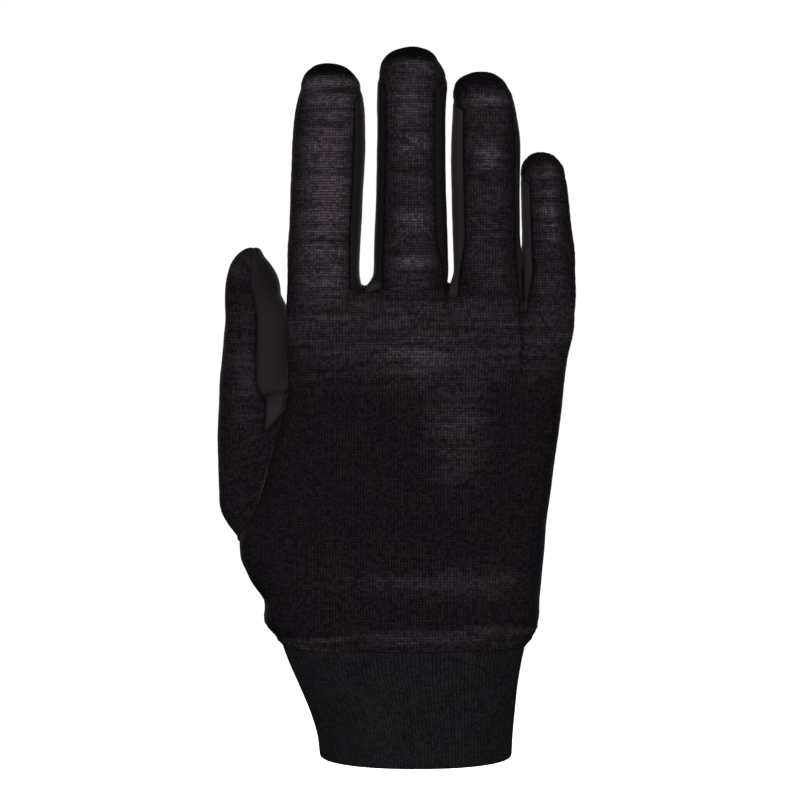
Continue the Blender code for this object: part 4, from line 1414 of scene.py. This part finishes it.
def makeCuff(material):
    columns = rib["count"] * rib["perRib"]
    number = np.arange(columns + 1)
    ribs = 0.5 + 0.5 * np.cos(2 * math.pi * number[:-1] / rib["perRib"])
    angles = np.linspace(0, 2 * math.pi, 2 * evenSteps + 1)
    width = rib["meanWidth"] * mouthWidth
    angles = spacedAngles(angles, fingerPower, width, mouthDepth, number[:-1] / columns)
    rows = []
    for level, inset, relief in cuffProfile():
        shown = relief * ease((1.0 - level) * cuffHeight / rib["topFade"] + rib["topRelief"])
        outward = -1 if inset < rib["wall"] / 2 else 1
        rows.append(cuffRing(level, inset + outward * rib["depth"] * shown * ribs, angles))
    rows = np.array(rows)
    ids = np.pad(numbered(rows), ((0, 1), (0, 1)), mode="wrap")
    run = np.pad(runLength(rows[:, 0]) / mm, (0, 1), mode="edge")
    flat = np.stack(np.broadcast_arrays(number / rib["perRib"] + 0.5, run[:, None]), axis=-1)
    corners = gridQuads(numbered(flat), True).reshape(-1)
    points, faces, flat = rows.reshape(-1, 3), gridQuads(ids, True), flat.reshape(-1, 2)[corners]
    crisp = cuffHeight - 0.1 * mm, cuffHeight + 0.1 * mm
    piece = makePiece("cuff", points, faces, flat, crisp, material)
    return piece


# Studio

studio = {
    "aim": (0, 0, 0.12),  # what the lights point at
    "lights": {  # place, width in metres and power in watts
        "frontSoft": ((-0.25, -1.6, 0.55), 1.0, 17),
        "sideSoft": ((1.2, -1.0, 0.6), 0.9, 3.4),
        "leftBackSoft": ((-0.72, 1.5, 0.55), 1.0, 17),
        "rightBackSoft": ((0.72, 1.5, 0.55), 1.0, 16),
    },
    "backdrop": "#ffffff",
    "fill": 0.07,  # how much of the backdrop's light falls on the liner
    "floor": "#f4f4f4",
    "floorZ": -0.30,
    "floorSize": 40.0,
    "eye": (-5.5 * mm, -577 * mm, 118.3 * mm),
    "halfView": math.radians(13),
}


def makeLight(name, place, size, power):
    light = bpy.data.lights.new(name, "AREA")
    light.shape = "DISK"
    light.size = size
    light.energy = power
    lamp = bpy.data.objects.new(name, light)
    lamp.location = place
    lamp.rotation_euler = (Vector(studio["aim"]) - Vector(place)).to_track_quat("-Z", "Y").to_euler()
    bpy.context.scene.collection.objects.link(lamp)


def makeBackdrop():
    world = bpy.data.worlds.new("studio")
    world.use_nodes = True
    tree = world.node_tree
    tree.nodes.clear()
    seen = addNode(tree, "LightPath").outputs["Is Camera Ray"]
    fill = studio["fill"]
    strength = addNode(tree, "Math", (seen, 1 - fill, fill), operation="MULTIPLY_ADD")
    light = addNode(tree, "Background", (linear(studio["backdrop"]), strength))
    addNode(tree, "OutputWorld", (light,))
    bpy.context.scene.world = world


def makeFloor():
    # a pale floor, evenly bright up to the backdrop
    half = studio["floorSize"] / 2
    mesh = bpy.data.meshes.new("floor")
    corners = [(-half, -half), (half, -half), (half, half), (-half, half)]
    mesh.from_pydata([(x, y, studio["floorZ"]) for x, y in corners], [], [(0, 1, 2, 3)])
    floor = bpy.data.objects.new("floor", mesh)
    bpy.context.scene.collection.objects.link(floor)
    material, tree = newMaterial("paleFloor")
    shader = addNode(tree, "BsdfPrincipled", {
        "Base Color": linear(studio["floor"]), "Roughness": 0.9,
        "Emission Color": linear(studio["backdrop"]), "Emission Strength": 1.0,
    })
    addNode(tree, "OutputMaterial", (shader,))
    mesh.materials.append(material)
    floor.visible_diffuse = False
    floor.visible_glossy = False


def makeCamera():
    camera = bpy.data.cameras.new("camera")
    camera.sensor_width = 36
    camera.lens = camera.sensor_width / 2 / math.tan(studio["halfView"])
    camera.clip_start = 0.01
    eye = bpy.data.objects.new("camera", camera)
    eye.location = studio["eye"]
    eye.rotation_euler = (math.pi / 2, 0, 0)
    bpy.context.scene.collection.objects.link(eye)
    bpy.context.scene.camera = eye


panels = [
    handPanel("back_panel", -1),
    handPanel("palm_panel", 1),
    sideStrip("fourchette_index_middle", 0),
    sideStrip("fourchette_middle_ring", 1),
    sideStrip("fourchette_ring_little", 2),
    thumbPiece("thumb_back", False),
    thumbPiece("thumb_front", True),
]
print("panels laid out")
palenessOf = {
    "back_panel": handPaleness,
    "palm_panel": handPaleness,
    "thumb_back": thumbKnitPaleness,
    "thumb_front": thumbSmoothPaleness,
}
for panel, (normal, agree) in zip(panels, skinNormals(panels)):
    dress(panel, normal, agree)
    panel["pale"] = palenessOf.get(panel["name"], stripPaleness)(panel)
    panel["dark"] = paintedShade(panel)
    panel["gathered"] = gathered(panel)
print("seams, gathers and folds shaped")

handKnit, smoothKnit = (merinoJersey(), "hand_knit"), (elastaneTricot(), "smooth_knit")
for panel in panels:
    smooth = "fourchette" in panel["name"] or panel["name"] == "thumb_front"
    piece = makeCloth(panel, *(smoothKnit if smooth else handKnit))
    print(piece.name, len(panel["faces"]), "faces")
cuffPiece = makeCuff(ribKnit())
print(cuffPiece.name, len(cuffPiece.data.polygons), "faces")

for name, (place, size, power) in studio["lights"].items():
    makeLight(name, place, size, power)
makeBackdrop()
makeFloor()
makeCamera()
bpy.context.scene.view_settings.view_transform = "Standard"
bpy.context.scene.view_settings.look = "None"
print("studio and camera set")
